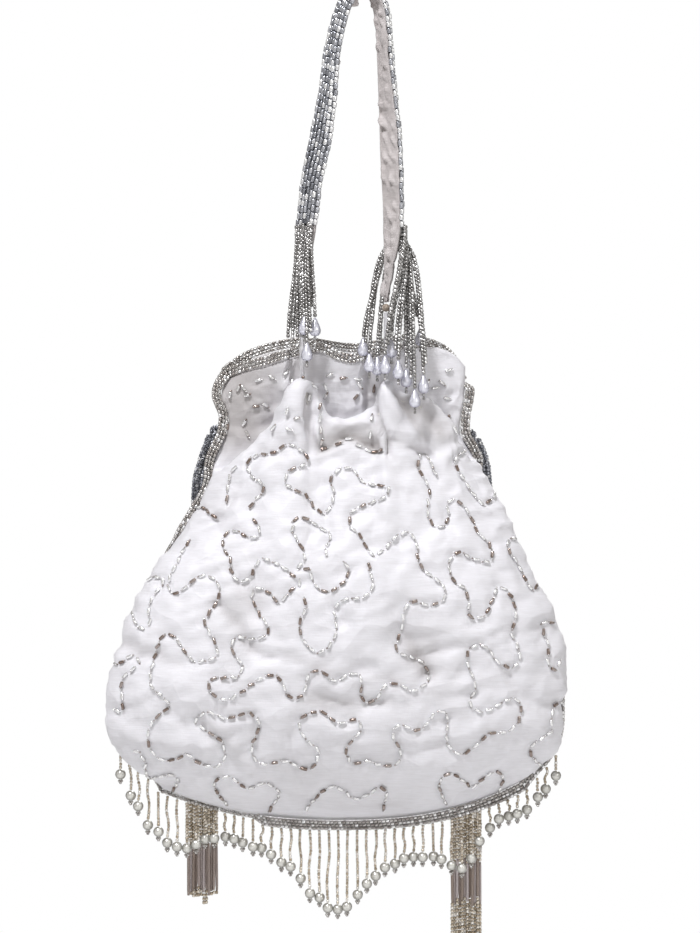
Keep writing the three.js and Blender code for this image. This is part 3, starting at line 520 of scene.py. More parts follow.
# Pearls: a light colour in the middle and painted shade at the rim.
ROUND_PEARL = pearl_material("round_pearl", (0.80, 0.79, 0.74), (0.17, 0.16, 0.13))
DROP_PEARL = pearl_material("drop_pearl", (0.90, 0.90, 0.98), (0.42, 0.42, 0.52))
CORD = cord_material("silk_cord", (0.50, 0.42, 0.34), (0.26, 0.20, 0.16))
PALE_CORD = cord_material("pale_cord", (0.74, 0.73, 0.75), (0.65, 0.64, 0.66))
print("materials", len(bpy.data.materials))

# %% [markdown]
# Helpers for pieces. `only` makes one object the selected one, because an operator acts on all that
# is selected. `finish_piece` gives a piece its material and its body, and hides the solids that it
# stands for.

# %% Helpers for pieces


def only(piece):
    bpy.ops.object.select_all(action="DESELECT")
    piece.select_set(True)
    bpy.context.view_layer.objects.active = piece


def finish_piece(piece, material, body, replaces=()):
    piece.data.materials.clear()
    piece.data.materials.append(material)
    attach(piece, body)
    if replaces:
        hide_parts(*replaces)
    return piece


def apply_modifier(piece, kind, **settings):
    only(piece)
    modifier = piece.modifiers.new(kind.lower(), kind)
    for setting, value in settings.items():
        setattr(modifier, setting, value)
    bpy.ops.object.modifier_apply(modifier=modifier.name)


def cloth_from_grid(name, grid, flip=False, painted_shade=None):
    """A sheet with its own UV map, from a grid of places in the bag's millimetres."""
    rows, columns = grid.shape[:2]
    bpy.ops.object.select_all(action="DESELECT")
    bpy.ops.mesh.primitive_grid_add(x_subdivisions=columns - 1, y_subdivisions=rows - 1, size=2)
    piece = bpy.context.active_object
    piece.name = name
    piece.data.name = name
    flat = np.empty(len(piece.data.vertices) * 3)
    piece.data.vertices.foreach_get("co", flat)
    flat = flat.reshape(-1, 3)
    i = np.rint((flat[:, 0] + 1) / 2 * (columns - 1)).astype(int)
    j = np.rint((flat[:, 1] + 1) / 2 * (rows - 1)).astype(int)
    piece.data.vertices.foreach_set("co", placed(grid[j, i]).ravel())
    # The painted shade is stored on each corner, for the silk's colour to read.
    if painted_shade is not None:
        piece.data.attributes.new("painted_shade", "FLOAT", "POINT").data.foreach_set("value", painted_shade[j, i])
    if flip:
        only(piece)
        bpy.ops.object.mode_set(mode="EDIT")
        bpy.ops.mesh.select_all(action="SELECT")
        bpy.ops.mesh.flip_normals()
        bpy.ops.object.mode_set(mode="OBJECT")
    only(piece)
    bpy.ops.object.shade_smooth()
    piece.data.update()
    return piece

# %% [markdown]
# A bead is modelled once and strung many times. A seed bead is a short cylinder with its two edges
# bevelled, so that it is barrel-shaped from the side and needs only a few dozen faces. A bugle is a
# long thin tube. Both are modelled one unit wide and one unit long, along z.

# %% Bead shapes


def as_shape(modelled):
    """The corners and faces of a modelled bead, ready to be strung many times."""
    corners = np.array([tuple(v.co) for v in modelled.data.vertices])
    faces = [tuple(face.vertices) for face in modelled.data.polygons]
    bpy.data.objects.remove(modelled)
    return corners, faces


def modelled_bead(sides, bevel, segments):
    bpy.ops.object.select_all(action="DESELECT")
    bpy.ops.mesh.primitive_cylinder_add(vertices=sides, radius=0.5, depth=1)
    bead = bpy.context.active_object
    bpy.ops.object.mode_set(mode="EDIT")
    bpy.ops.mesh.select_all(action="DESELECT")
    bpy.ops.object.mode_set(mode="OBJECT")
    for face in bead.data.polygons:
        face.select = abs(face.normal.z) > 0.9
    bpy.ops.object.mode_set(mode="EDIT")
    bpy.ops.mesh.bevel(offset=bevel, offset_type="OFFSET", segments=segments, affect="EDGES")
    bpy.ops.object.mode_set(mode="OBJECT")
    return as_shape(bead)


SEED = modelled_bead(sides=6, bevel=0.2, segments=1)
BUGLE = modelled_bead(sides=7, bevel=0.1, segments=1)
print("seed bead faces", len(SEED[1]), "bugle faces", len(BUGLE[1]))


# The ends of a bead are darker in tone than its middle.
END_SHADE = 0.25


def strung(name, beads):
    """One piece from many beads. Each bead is its shape, place, direction, width, length and tone."""
    points, corners, sizes, tones = [], [], [], []
    base = 0
    dice = random.Random(name)
    for (shape, faces), centre, direction, width, length, tone in beads:
        direction = np.asarray(direction) / np.linalg.norm(direction)
        helper = np.array([0, 0, 1.0]) if abs(direction[2]) < 0.9 else np.array([1.0, 0, 0])
        across = np.cross(helper, direction)
        across /= np.linalg.norm(across)
        up = np.cross(direction, across)
        turn = dice.uniform(0, 2 * math.pi)
        side = math.cos(turn) * across + math.sin(turn) * up
        other = np.cross(direction, side)
        basis = np.stack([side * width, other * width, direction * length])
        points.append(shape @ basis + centre)
        for face in faces:
            corners.extend(base + k for k in face)
            sizes.append(len(face))
        tones.append(np.where(np.abs(shape[:, 2]) > 0.49, tone - END_SHADE, tone))
        base += len(shape)
    mesh = bpy.data.meshes.new(name)
    mesh.vertices.add(base)
    mesh.vertices.foreach_set("co", placed(np.vstack(points)).ravel())
    mesh.loops.add(len(corners))
    mesh.loops.foreach_set("vertex_index", corners)
    mesh.polygons.add(len(sizes))
    mesh.polygons.foreach_set("loop_start", np.concatenate([[0], np.cumsum(sizes)[:-1]]).astype(int))
    mesh.polygons.foreach_set("use_smooth", [True] * len(sizes))
    mesh.update(calc_edges=True)
    tone_values = mesh.attributes.new("tone", "FLOAT", "POINT")
    tone_values.data.foreach_set("value", np.concatenate(tones))
    piece = bpy.data.objects.new(name, mesh)
    bpy.context.scene.collection.objects.link(piece)
    return piece


def seeds_along(line, width, dice, pitch=None, jitter=0.0, closed=False, length=0.95, shape=SEED):
    """Beads threaded on a line, one after another."""
    pitch = pitch or width * 0.95
    centres, directions = evenly(np.asarray(line), pitch, closed)
    beads = []
    for centre, direction in zip(centres, directions):
        shift = np.array([dice.uniform(-jitter, jitter) for _ in range(3)])
        size = width * dice.uniform(0.92, 1.06)
        beads.append((shape, centre + shift, direction, size, pitch * length, dice.random()))
    return beads

# %% [markdown]
# Couched bead lines wander over the silk in a vermicelli pattern, a traditional filling. They are
# read first, because the thread pulls the silk into a shallow groove along each line.

# %% Vermicelli bead lines, as pixels of the photograph
BEAD_LINES = [
    [
        (251, 457), (261, 455), (275, 452), (288, 445), (298, 448), (306, 456), (303, 465), (291, 470),
        (286, 481), (293, 489), (303, 493), (309, 499), (315, 508), (326, 513), (331, 505), (334, 494),
        (331, 480), (339, 470), (349, 468), (356, 474), (363, 482), (375, 485), (387, 487), (385, 496),
        (373, 502), (361, 506), (352, 512), (350, 526), (359, 534), (365, 545), (374, 555), (385, 548),
        (395, 536), (409, 533), (416, 545), (418, 561), (428, 574), (440, 582), (444, 594), (434, 603),
        (423, 603), (413, 600), (405, 606), (402, 622), (397, 638), (395, 645), (401, 652), (410, 656),
        (423, 662), (428, 678), (423, 684), (413, 688), (405, 685), (394, 682), (385, 684), (377, 694),
        (369, 700), (361, 694), (361, 683), (359, 673), (351, 672), (340, 677), (334, 678), (323, 670),
        (314, 669), (307, 677), (306, 684), (298, 696), (288, 692), (283, 681), (275, 673), (264, 675),
        (256, 680), (243, 690), (231, 696), (220, 696), (212, 689), (210, 680), (218, 676), (231, 676),
        (240, 673), (244, 664), (236, 654), (232, 643), (239, 636), (253, 637), (263, 635), (269, 631),
        (267, 622), (262, 616), (256, 604), (253, 597), (256, 587), (267, 590), (280, 600), (291, 590),
        (300, 582), (293, 574), (287, 568), (275, 562), (263, 559), (253, 572), (245, 580), (234, 576),
        (232, 560), (225, 550), (225, 537), (235, 531), (248, 536), (258, 536), (260, 528), (253, 518),
    ],
    [(248, 508), (255, 502), (263, 492), (264, 483), (257, 480), (248, 468), (251, 457)],
    [
        (328, 557), (326, 549), (331, 538), (318, 526), (304, 518), (296, 520), (293, 529), (297, 539),
        (305, 555), (300, 567), (309, 569), (312, 576), (316, 584), (324, 590), (337, 587), (347, 576),
        (348, 566), (343, 561),
    ],
    [
        (371, 560), (369, 566), (371, 576), (372, 585), (363, 596), (346, 598), (337, 604), (335, 616),
        (336, 631), (330, 643), (318, 650), (308, 643), (301, 630), (301, 616), (306, 608), (305, 595),
    ],
    [
        (420, 453), (417, 465), (423, 478), (429, 491), (427, 504), (428, 518), (437, 527), (445, 524),
        (448, 513), (447, 504), (454, 500), (464, 508), (471, 519), (477, 533), (487, 543), (491, 554),
        (487, 561), (477, 559), (468, 557), (461, 552), (452, 555), (448, 564), (453, 580), (464, 589),
        (467, 603), (468, 614), (477, 617), (485, 612), (491, 599), (496, 588), (506, 591), (512, 601),
        (514, 614), (511, 628), (510, 634), (515, 643), (518, 657), (512, 665), (501, 663), (493, 657),
        (487, 648), (479, 643), (468, 648), (466, 659), (471, 673), (474, 686), (469, 702), (477, 709),
        (488, 708), (499, 702), (511, 697), (519, 704), (518, 718), (509, 728), (499, 731), (487, 732),
        (480, 739), (471, 747), (459, 752), (450, 746), (446, 734), (447, 718), (444, 710), (434, 712),
        (427, 720), (417, 728), (405, 724), (396, 724), (393, 734), (400, 747), (400, 757), (393, 763),
        (381, 763), (370, 759), (357, 761), (349, 757), (346, 748), (354, 736), (361, 726), (357, 718),
        (343, 720), (334, 718), (322, 710), (309, 711), (300, 721), (306, 736), (318, 747), (318, 756),
        (315, 763), (306, 767), (295, 763), (283, 759), (272, 761), (261, 761), (253, 751), (254, 739),
        (258, 731), (259, 716), (248, 710), (236, 714), (226, 716), (213, 711), (202, 712), (197, 719),
        (204, 726), (216, 734), (224, 742), (225, 755), (220, 763), (212, 764), (200, 761), (189, 753),
        (177, 757), (165, 759), (154, 751), (150, 742), (151, 726), (159, 715), (170, 704), (167, 697),
        (159, 691), (153, 684), (152, 675), (156, 657), (160, 643), (164, 636), (173, 635), (181, 642),
        (188, 653), (199, 660), (210, 658), (218, 654), (216, 640), (210, 629), (206, 621), (212, 609),
        (219, 598), (221, 588), (215, 579), (202, 576), (192, 582), (183, 590), (177, 593), (170, 587),
        (172, 575), (177, 566), (183, 553), (191, 539),
    ],
    [
        (146, 583), (156, 577), (164, 580), (159, 590), (152, 601), (150, 615), (151, 622), (143, 628),
        (137, 623), (133, 612),
    ],
    [
        (114, 665), (124, 661), (133, 656), (140, 661), (135, 668), (125, 677), (122, 688), (124, 699),
        (122, 711), (114, 708),
    ],
    [(239, 465), (232, 473), (228, 489), (227, 504)],
    [(196, 508), (204, 509), (212, 515), (219, 518)],
    [
        (133, 750), (140, 751), (145, 761), (148, 777), (157, 777), (169, 774), (178, 780), (173, 790),
        (165, 798),
    ],
    [
        (228, 807), (218, 793), (215, 783), (219, 777), (229, 775), (239, 781), (248, 787), (259, 782),
        (269, 783), (279, 791), (274, 804), (268, 813),
    ],
    [
        (304, 812), (325, 788), (333, 785), (344, 790), (354, 798), (367, 794), (378, 787), (386, 790),
        (385, 801), (383, 812),
    ],
    [
        (447, 807), (444, 798), (439, 785), (442, 775), (452, 772), (463, 779), (472, 786), (480, 780),
        (488, 773), (499, 772), (503, 779), (499, 793), (499, 804),
    ],
    [
        (549, 769), (538, 763), (530, 753), (531, 745), (538, 739), (549, 732), (550, 724), (552, 710),
        (560, 702), (566, 710),
    ],
    [(554, 624), (543, 622), (543, 632), (547, 645), (547, 662), (554, 669), (560, 659)],
    [
        (520, 540), (509, 540), (507, 548), (515, 561), (522, 574), (527, 585), (533, 590), (538, 580),
    ],
    [
        (466, 451), (456, 457), (455, 465), (460, 475), (468, 488), (476, 499), (483, 504), (491, 499),
        (495, 492),
    ],
    [(426, 456), (431, 464), (436, 477)],
]

# Bugles sewn on one by one: their pixel, and how steeply they rise to the right in degrees.
SINGLE_BUGLES = [
    (303, 379, 35), (314, 387, -40), (292, 381, 60), (288, 412, 70), (297, 419, 15), (274, 429, 50),
    (289, 429, -20), (310, 398, 80), (238, 388, 60), (244, 388, -50), (258, 380, 10), (272, 377, -30),
    (285, 373, 40), (247, 395, 20), (230, 395, 75), (256, 406, 5), (244, 423, 60), (247, 434, -60),
    (228, 427, 80), (265, 404, -35), (329, 375, 30), (326, 387, -70), (326, 396, 60), (343, 378, 10),
    (358, 379, -15), (356, 397, 50), (360, 385, -60), (448, 370, 20), (442, 382, -40), (435, 387, 10),
    (427, 383, 60), (446, 398, -10), (324, 450, 30), (339, 445, 15), (348, 440, 5), (358, 446, -25),
    (368, 452, -20), (375, 453, 5), (381, 450, 40), (371, 419, 70), (370, 435, 80), (374, 389, 85),
    (320, 407, 84), (320, 419, 80), (320, 431, 86), (321, 442, 75), (449, 416, 60), (454, 430, -60),
]

# %% [markdown]
# The two silk panels are lofted from their rows, then given their folds. A cloth simulation could
# gather a pouch as well, but it would put the ears and the pocket where chance has them. So each
# crease, fold and swell of the front is a named line or spot of the photograph, the bead lines sink
# into grooves, and noise adds the puckers between them.

# %% Folds of the front, as pixels of the photograph
# Creases and folds: the line, its height (a crease is below zero), and the half width, both in
# millimetres.
FRONT_FOLDS = [
    ([(308, 393), (308, 420), (312, 438), (317, 450)], -4.2, 1.7),
    ([(316, 396), (315, 420)], -1.6, 2.6),
    ([(297, 385), (288, 410), (276, 440), (262, 480)], 2.2, 6.5),
    ([(372, 402), (379, 425), (389, 440), (388, 453)], -4.2, 1.6),
    ([(385, 390), (392, 408), (401, 422), (414, 437)], 2.8, 2.6),
    ([(395, 389), (405, 408), (415, 424), (424, 438)], -1.8, 2.0),
    ([(388, 441), (404, 445), (425, 452)], -3.0, 1.7),
    ([(412, 402), (430, 420), (440, 434)], -1.2, 6.5),
    ([(427, 398), (447, 412), (455, 434), (467, 454)], 2.4, 2.4),
    ([(317, 452), (322, 490), (330, 540)], -1.4, 3.5),
    ([(390, 454), (400, 500), (398, 560)], -1.4, 4.0),
    ([(425, 453), (440, 490), (450, 540)], -1.4, 4.0),
    ([(268, 440), (245, 480), (214, 520)], -1.4, 3.5),
    ([(345, 458), (348, 500)], 1.4, 8.0),
    ([(106, 640), (140, 650), (182, 664)], -2.2, 4.5),
    ([(430, 650), (455, 646), (482, 645)], -1.0, 1.6),
    ([(424, 672), (450, 668), (484, 670)], -1.1, 1.6),
    ([(430, 690), (455, 694), (478, 693)], -1.0, 1.8),
    ([(214, 600), (236, 622), (252, 652)], -2.0, 3.5),
    ([(200, 720), (220, 742), (238, 770)], -2.0, 3.5),
    ([(330, 600), (352, 640), (360, 668)], -1.2, 3.5),
    ([(470, 560), (500, 575), (530, 560)], -1.4, 3.5),
    ([(296, 716), (290, 745), (304, 790)], -1.4, 3.0),
    ([(500, 670), (528, 700), (556, 704)], -1.6, 3.5),
    ([(150, 700), (178, 715), (196, 745)], -1.5, 3.0),
    ([(380, 780), (400, 790), (440, 790)], -1.2, 3.0),
    ([(390, 600), (402, 630), (428, 672)], -2.2, 3.5),
    ([(240, 640), (270, 655), (300, 660)], -1.6, 2.4),
    ([(310, 690), (350, 704), (390, 700)], -1.8, 2.6),
    ([(310, 700), (335, 712), (352, 716)], -1.4, 1.8),
    ([(310, 560), (345, 545), (372, 520)], 1.2, 4.0),
    ([(356, 750), (400, 752), (440, 742)], -1.5, 2.6),
    ([(290, 800), (340, 808), (400, 806)], -1.3, 3.0),
]
# Painted shade on the front, in patches that lie in shade: the line, its shade, and the half width.
PAINTED_FRONT_SHADES = [
    ([(410, 402), (428, 418), (440, 432)], 0.42, 6.0), ([(396, 392), (408, 410), (420, 434)], 0.14, 1.8),
    ([(234, 590), (230, 630), (238, 675)], 0.08, 8.0), ([(290, 652), (312, 660), (330, 664)], 0.10, 3.0),
    ([(305, 676), (350, 672), (408, 684)], 0.11, 3.4), ([(410, 650), (420, 664), (430, 676)], 0.14, 3.6),
    ([(404, 620), (440, 640), (470, 680)], 0.05, 12.0), ([(306, 699), (330, 702), (354, 710)], 0.10, 2.6),
    ([(210, 722), (232, 742), (254, 768)], 0.10, 4.0), ([(280, 778), (340, 786), (400, 806)], 0.07, 8.0),
    ([(372, 505), (384, 525), (388, 548)], 0.05, 5.0), ([(436, 684), (444, 700), (452, 716)], 0.07, 5.0),
    ([(240, 540), (252, 560), (256, 590)], 0.05, 6.0), ([(130, 640), (150, 652), (184, 664)], 0.06, 4.0),
]
# Broad swells of the front: pixel, height, and the half widths across and up, in millimetres.
FRONT_SWELLS = [
    ((372, 580), 3.6, 26, 20), ((288, 545), 2.6, 17, 24), ((350, 640), 2.4, 20, 11),
    ((180, 690), 2.6, 17, 15), ((190, 745), 2.2, 18, 10), ((345, 735), 2.0, 20, 9),
    ((420, 770), 2.6, 24, 10), ((480, 600), 2.2, 18, 20), ((250, 700), 1.8, 16, 10),
    ((500, 720), 2.4, 20, 12), ((250, 600), -3.0, 13, 16), ((420, 650), -3.2, 12, 15),
    ((330, 700), -1.8, 34, 5), ((240, 780), 2.0, 20, 8), ((440, 530), 2.0, 16, 16),
]
print("folds", len(FRONT_FOLDS), "shades", len(PAINTED_FRONT_SHADES), "swells", len(FRONT_SWELLS))

# %% [markdown]
# The relief moves each point of a panel along its own normal. A displacement map could do it, but a
# shape that is real geometry also shows in the silhouette.

# %% Relief of the silk
# The pocket between the ears: its top edge stands forward, and it falls back to its lower edge.
POCKET_LOW = profile([(-14, 192), (-9, 191), (4.5, 196), (20.5, 190), (26, 190)])
POCKET_HIGH = 209.0
POCKET_DEPTH = 5.0
POCKET_EDGES = (-13.0, -8.5, 17.5, 22.0)
GROOVE_DEPTH = 0.75
GROOVE_WIDTH = 2.6
PUFF_HEIGHT = 0.6
PUFF_WIDTH = 8.0
WRINKLE_HEIGHT = 2.0


def line_distances(grid, mirror):
    """How far each grid point is from the nearest bead line, seen from the front."""
    spots = np.vstack([smooth_line(from_photo(pixels), 4) for pixels in BEAD_LINES]) * [mirror, 1]
    tree = KDTree(len(spots))
    for i, (x, z) in enumerate(spots):
        tree.insert((x, 0, z), i)
    tree.balance()
    flat = grid.reshape(-1, 3)
    return np.array([tree.find((x, 0, z))[2] for x, _, z in flat]).reshape(grid.shape[:2])


def wrinkle(x, z, seed):
    """Soft puckers: long across, short upright, bent by a slower noise."""
    bend = noise.noise(Vector((x * 0.03, seed, z * 0.03))) * 9
    slow = noise.noise(Vector((x * 0.045, seed + 5, z * 0.075 + bend * 0.06)))
    curl = bend * 0.1
    ridge = 1 - 2 * abs(noise.noise(Vector((x * 0.05 + curl, seed + 13, z * 0.12 - x * 0.03))))
    slant = 1 - 2 * abs(noise.noise(Vector((x * 0.075 + z * 0.05, seed + 17, z * 0.10 - x * 0.06 + curl))))
    fine = 1 - 2 * abs(noise.noise(Vector((x * 0.12 + curl, seed + 9, z * 0.24 + x * 0.05))))
    return 0.6 * slow + 0.5 * (ridge - 0.6) + 0.42 * (slant - 0.6) + 0.2 * (fine - 0.6)


def distance_to(line, points):
    """How far each point is from a line of short segments, both given by x and z."""
    best = np.full(len(points), np.inf)
    for a, b in zip(line[:-1], line[1:]):
        share = np.clip((points - a) @ (b - a) / ((b - a) @ (b - a)), 0, 1)
        best = np.minimum(best, np.linalg.norm(points - a - share[:, None] * (b - a), axis=1))
    return best


def folded(grid):
    """The heights of the named folds, the pocket, and the painted soft shade of the front below the neck.
    """
    points = grid[:, :, [0, 2]].reshape(-1, 2)
    height = np.zeros(len(points))
    for pixels, size, width in FRONT_FOLDS:
        away = distance_to(smooth_line(from_photo(pixels), 5), points)
        height += size * np.exp(-((away / width) ** 2))
    # Painted shade in soft patches of the front.
    painted_soft_shade = np.zeros(len(points))
    for pixels, size, width in PAINTED_FRONT_SHADES:
        away = distance_to(smooth_line(from_photo(pixels), 5), points)
        painted_soft_shade += size * np.exp(-((away / width) ** 2))
    x, z = points.T
    for pixel, size, across, up in FRONT_SWELLS:
        middle = from_photo([pixel])[0]
        height += size * np.exp(-(((x - middle[0]) / across) ** 2) - ((z - middle[1]) / up) ** 2)
    low = POCKET_LOW(x)
    window = np.interp(x, POCKET_EDGES, (0, 1, 1, 0))
    fall = np.clip((POCKET_HIGH - z) / (POCKET_HIGH - low), 0, 1)
    below = np.exp(-np.maximum(low - z, 0) / 1.7)
    pocket = window * np.where(z > low, fall, below)
    height -= POCKET_DEPTH * pocket
    return [values.reshape(grid.shape[:2]) for values in (height, pocket, painted_soft_shade)]


# Painted shade over the ruffle, which stands back behind the ears: darkest at the left, by x.
PAINTED_RUFFLE_SHADE = smooth_profile([
    (-70, 0.62), (-42, 0.56), (-26, 0.28), (-6, 0.14), (20, 0.14), (45, 0.06), (75, 0.06),
])
# Painted shade in the recesses of the ruffle's folds.
PAINTED_RUFFLE_FOLD_SHADE = 0.045
# Painted shade in the front's creases and on the face of the pocket.
PAINTED_CREASE_SHADE = 0.085
PAINTED_POCKET_SHADE = 0.30


def outward_normals(panel, grid):
    normal = np.cross(np.gradient(grid, axis=1), np.gradient(grid, axis=0)) * -panel["sign"]
    return normal / (np.linalg.norm(normal, axis=2, keepdims=True) + 1e-9)


def relief(panel, grid):
    """The silk with its grooves, puffs and puckers, moved along its own normal, and its painted shade."""
    mirror = 1 if panel["sign"] < 0 else -1
    away = line_distances(grid, mirror)
    groove = -GROOVE_DEPTH * np.exp(-((away / GROOVE_WIDTH) ** 2))
    puff = PUFF_HEIGHT * (1 - np.exp(-((away / PUFF_WIDTH) ** 2)))
    seed = 2.0 if panel["sign"] < 0 else 31.0
    puckers = [[wrinkle(x, z, seed) for x, _, z in row] for row in grid]
    height = groove + puff + WRINKLE_HEIGHT * np.array(puckers)
    row_at = np.interp(np.arange(len(grid)), np.cumsum([0, *ROW_STEPS]), np.arange(len(ROWS)))[:, None]
    ruffle = np.clip(row_at - CHANNEL, 0, 1)
    # Painted shade over the ruffle, deeper in the recesses of its folds.
    folds = PAINTED_RUFFLE_FOLD_SHADE * np.maximum(-np.interp(grid[:, :, 0], *RUFFLE_FOLDS), -3)
    painted_shade = ruffle * (PAINTED_RUFFLE_SHADE(grid[:, :, 0]) + folds)
    if panel["sign"] < 0:
        body = np.clip(FOLD + 1.5 - row_at, 0, 1)
        named, pocket, painted_soft_shade = folded(grid)
        height += named * body
        # Painted shade in the creases, on the pocket and in the soft patches.
        painted_shade += body * (PAINTED_CREASE_SHADE * np.maximum(-named - 0.6, 0) + PAINTED_POCKET_SHADE * pocket + painted_soft_shade)
    rows, columns = grid.shape[:2]
    side = np.minimum(np.arange(columns), np.arange(columns)[::-1]) / columns
    low = np.arange(rows) / 4
    high = np.arange(rows)[::-1] / 10
    fade = np.clip(side * 16, 0, 1)[None, :] * np.clip(np.minimum(low, high), 0, 1)[:, None]
    moved = grid + outward_normals(panel, grid) * (height * fade)[:, :, None]
    return moved, np.clip(painted_shade, 0, 1)


front_base, back_base = front_grid, back_grid
front_grid, front_painted_shade = relief(FRONT, front_grid)
back_grid, back_painted_shade = relief(BACK, back_grid)
print("front shade up to", round(float(front_painted_shade.max()), 2))

# %% [markdown]
# With their relief, the grids become cloth: a mesh with its own UV map, and a Solidify modifier for
# the thickness.

# %% Silk panels
CLOTH_THICKNESS = 0.9


def make_panel(name, panel, grid, painted_shade, node):
    piece = cloth_from_grid(name, grid, flip=panel["sign"] > 0, painted_shade=painted_shade)
    apply_modifier(piece, "SOLIDIFY", thickness=CLOTH_THICKNESS * MM, offset=-1)
    finish_piece(piece, SILK, "bag", [node])
    return piece


front_silk = make_panel("front_silk", FRONT, front_grid, front_painted_shade, "front_panel")
back_silk = make_panel("back_silk", BACK, back_grid, back_painted_shade, "back_panel")

# %% [markdown]
# Each panel has a plain lining, a little smaller than the panel and a few millimetres inside it,
# further in where the front has a deep fold. It ends at the channel of the drawstring.

# %% Linings
LINING_INSET = 4.8
LINING_THICKNESS = 0.4


def make_lining(name, panel, grid, node):
    """A coarser copy of the panel's plain shape, moved inward and cut off at the channel."""
    rows = grid[6 : sum(ROW_STEPS[:CHANNEL]) - 4 : 3, 6:-6:3]
    inset = np.full(rows.shape[:2], LINING_INSET)
    if panel["sign"] < 0:
        inset += np.maximum(-folded(rows)[0], 0)
    inner = rows - outward_normals(panel, rows) * inset[:, :, None]
    inner[:, :, 1] = panel["sign"] * np.maximum(panel["sign"] * inner[:, :, 1], 0.4)
    piece = cloth_from_grid(name, inner, flip=panel["sign"] > 0)
    apply_modifier(piece, "SOLIDIFY", thickness=LINING_THICKNESS * MM, offset=-1)
    finish_piece(piece, LINING, "bag", [node])


make_lining("front_lining_cloth", FRONT, front_base, "front_lining")
make_lining("back_lining_cloth", BACK, back_base, "back_lining")

# %% [markdown]
# The bead border runs all round each panel, in three rows of seed beads sewn side by side just
# outside the seam. Its line is the edge of the panel's own grid, and where the seam is tucked under,
# the border slips behind the silhouette with it. At the ruffle's top right corner the cloth folds
# over, so there the front border lies behind it.

# %% Bead borders
BORDER_OFF_SEAM = 0.2
BORDER_GAP_Y = 0.7
BORDER_THICKNESS = 3.0
TUCK_SHIFT = 4.5
TUCKED_IN = 1.6
TUCK_REACH = 1.2
# On the left flank the filled cloth bulges over the seam, so less of the border shows.
FLANK_HEIGHTS = (108.0, 122.0, 172.0, 186.0)
FLANK_X = -40
FLANK_IN = 2.4
# At the lower left the swollen silk hides all but the outer row of the front border.
LOW_LEFT_X = 38
LOW_LEFT_TOP = 60
LOW_LEFT_IN = 2.8
LOW_LEFT_BACK = 3.4
# At the ruffle's right corner the border lies behind the cloth: from x, in, and back.
CORNER_Z = 222
FRONT_CORNER = (36, 6, 4.5, 4.5)
BACK_CORNER = (58, 4, 3.5, 0)
BORDER_ROWS = ((0.9, 0.0), (2.5, -0.35), (4.1, 0.0))
BORDER_BEAD = 1.9


def edge_line(panel, grid):
    """The panel's edge, all round: places, the outward direction in the seam's plane, and the tuck."""
    row_at = np.concatenate([np.arange(n) / n + i for i, n in enumerate(ROW_STEPS)] + [[TOP]])
    tucks = np.array([row[3] for row in ROWS], dtype=float)
    rows = np.arange(len(ROWS))
    left_tuck = np.interp(row_at, rows, tucks[:, 0])
    right_tuck = np.interp(row_at, rows, tucks[:, 1])
    corners = [grid[0, 1:-1], grid[:, -1], grid[-1, ::-1][1:-1], grid[::-1, 0]]
    zero = [np.zeros(len(corners[0])), np.zeros(len(corners[2]))]
    line = np.vstack(corners)
    tuck = np.concatenate([zero[0], right_tuck, zero[1], left_tuck[::-1]])
    at_top = np.concatenate([zero[0], 0 * right_tuck, zero[1] + 1, 0 * left_tuck])
    ahead, behind = np.roll(line, -3, axis=0), np.roll(line, 3, axis=0)
    outward = np.stack([ahead[:, 2] - behind[:, 2], 0 * tuck, behind[:, 0] - ahead[:, 0]], axis=1)
    outward /= np.linalg.norm(outward, axis=1, keepdims=True)
    return line, outward, tuck, at_top


def risen(values, start, width):
    """From 0 at the start to 1 a width further on."""
    return np.clip((values - start) / width, 0, 1)


def border_line(panel, grid, out, proud):
    line, outward, tuck, at_top = edge_line(panel, grid)
    under = 1 - np.exp(-tuck / TUCK_REACH)
    seam_y = panel["sign"] * (BORDER_GAP_Y + BORDER_THICKNESS / 2) + TUCK_SHIFT * under
    top_y = line[:, 1] + seam_y * 0.15
    y = np.where(at_top > 0, top_y, seam_y) + panel["sign"] * proud
    flank = np.interp(line[:, 2], FLANK_HEIGHTS, (0, 1, 1, 0)) * (line[:, 0] < FLANK_X)
    tucked = TUCKED_IN * under + FLANK_IN * flank
    place = line + outward * (BORDER_OFF_SEAM + out - tucked)[:, None]
    place[:, 1] = y
    hidden = risen(-place[:, 0], LOW_LEFT_X, 6) * risen(-place[:, 2], -LOW_LEFT_TOP, 10)
    place -= outward * hidden[:, None] * LOW_LEFT_IN
    if panel["sign"] < 0:
        place[:, 1] += hidden * LOW_LEFT_BACK
    start, width, inward, back = FRONT_CORNER if panel["sign"] < 0 else BACK_CORNER
    turned = risen(place[:, 0], start, width) * risen(place[:, 2], CORNER_Z, 5)
    place -= outward * turned[:, None] * (BORDER_OFF_SEAM + out + inward)
    place[:, 1] += turned * back
    return place


def border_beads(name, panel, grid, node):
    dice = random.Random(name)
    beads = []
    for out, proud in BORDER_ROWS:
        line = border_line(panel, grid, out, proud)
        beads += seeds_along(line, BORDER_BEAD, dice, pitch=2.0, jitter=0.06, closed=True)
    piece = strung(name, beads)
    print(name, len(beads), "beads")
    return finish_piece(piece, SILVER_BEADS, "bag", [node])


border_beads("front_border_beads", FRONT, front_grid, "front_bead_border")
border_beads("back_border_beads", BACK, back_grid, "back_bead_border")

# %% [markdown]
# The fringe hangs from the bottom seam: 47 strands of beige seed beads of unequal length, each ending
# in a round pearl and a few tiny beads, so that the pearls draw three scallops.

# %% Pearl fringe
FRINGE_COUNT = 47
FRINGE_LEFT = -110.5
FRINGE_RIGHT = 108.5
HEADER_OUT = 6.2
HEADER_TOP = 50
STRAND_BEAD = 1.9
FRINGE_BEAD = 1.7
PEARL_RADIUS = 2.7
TIP_BEAD = 1.3
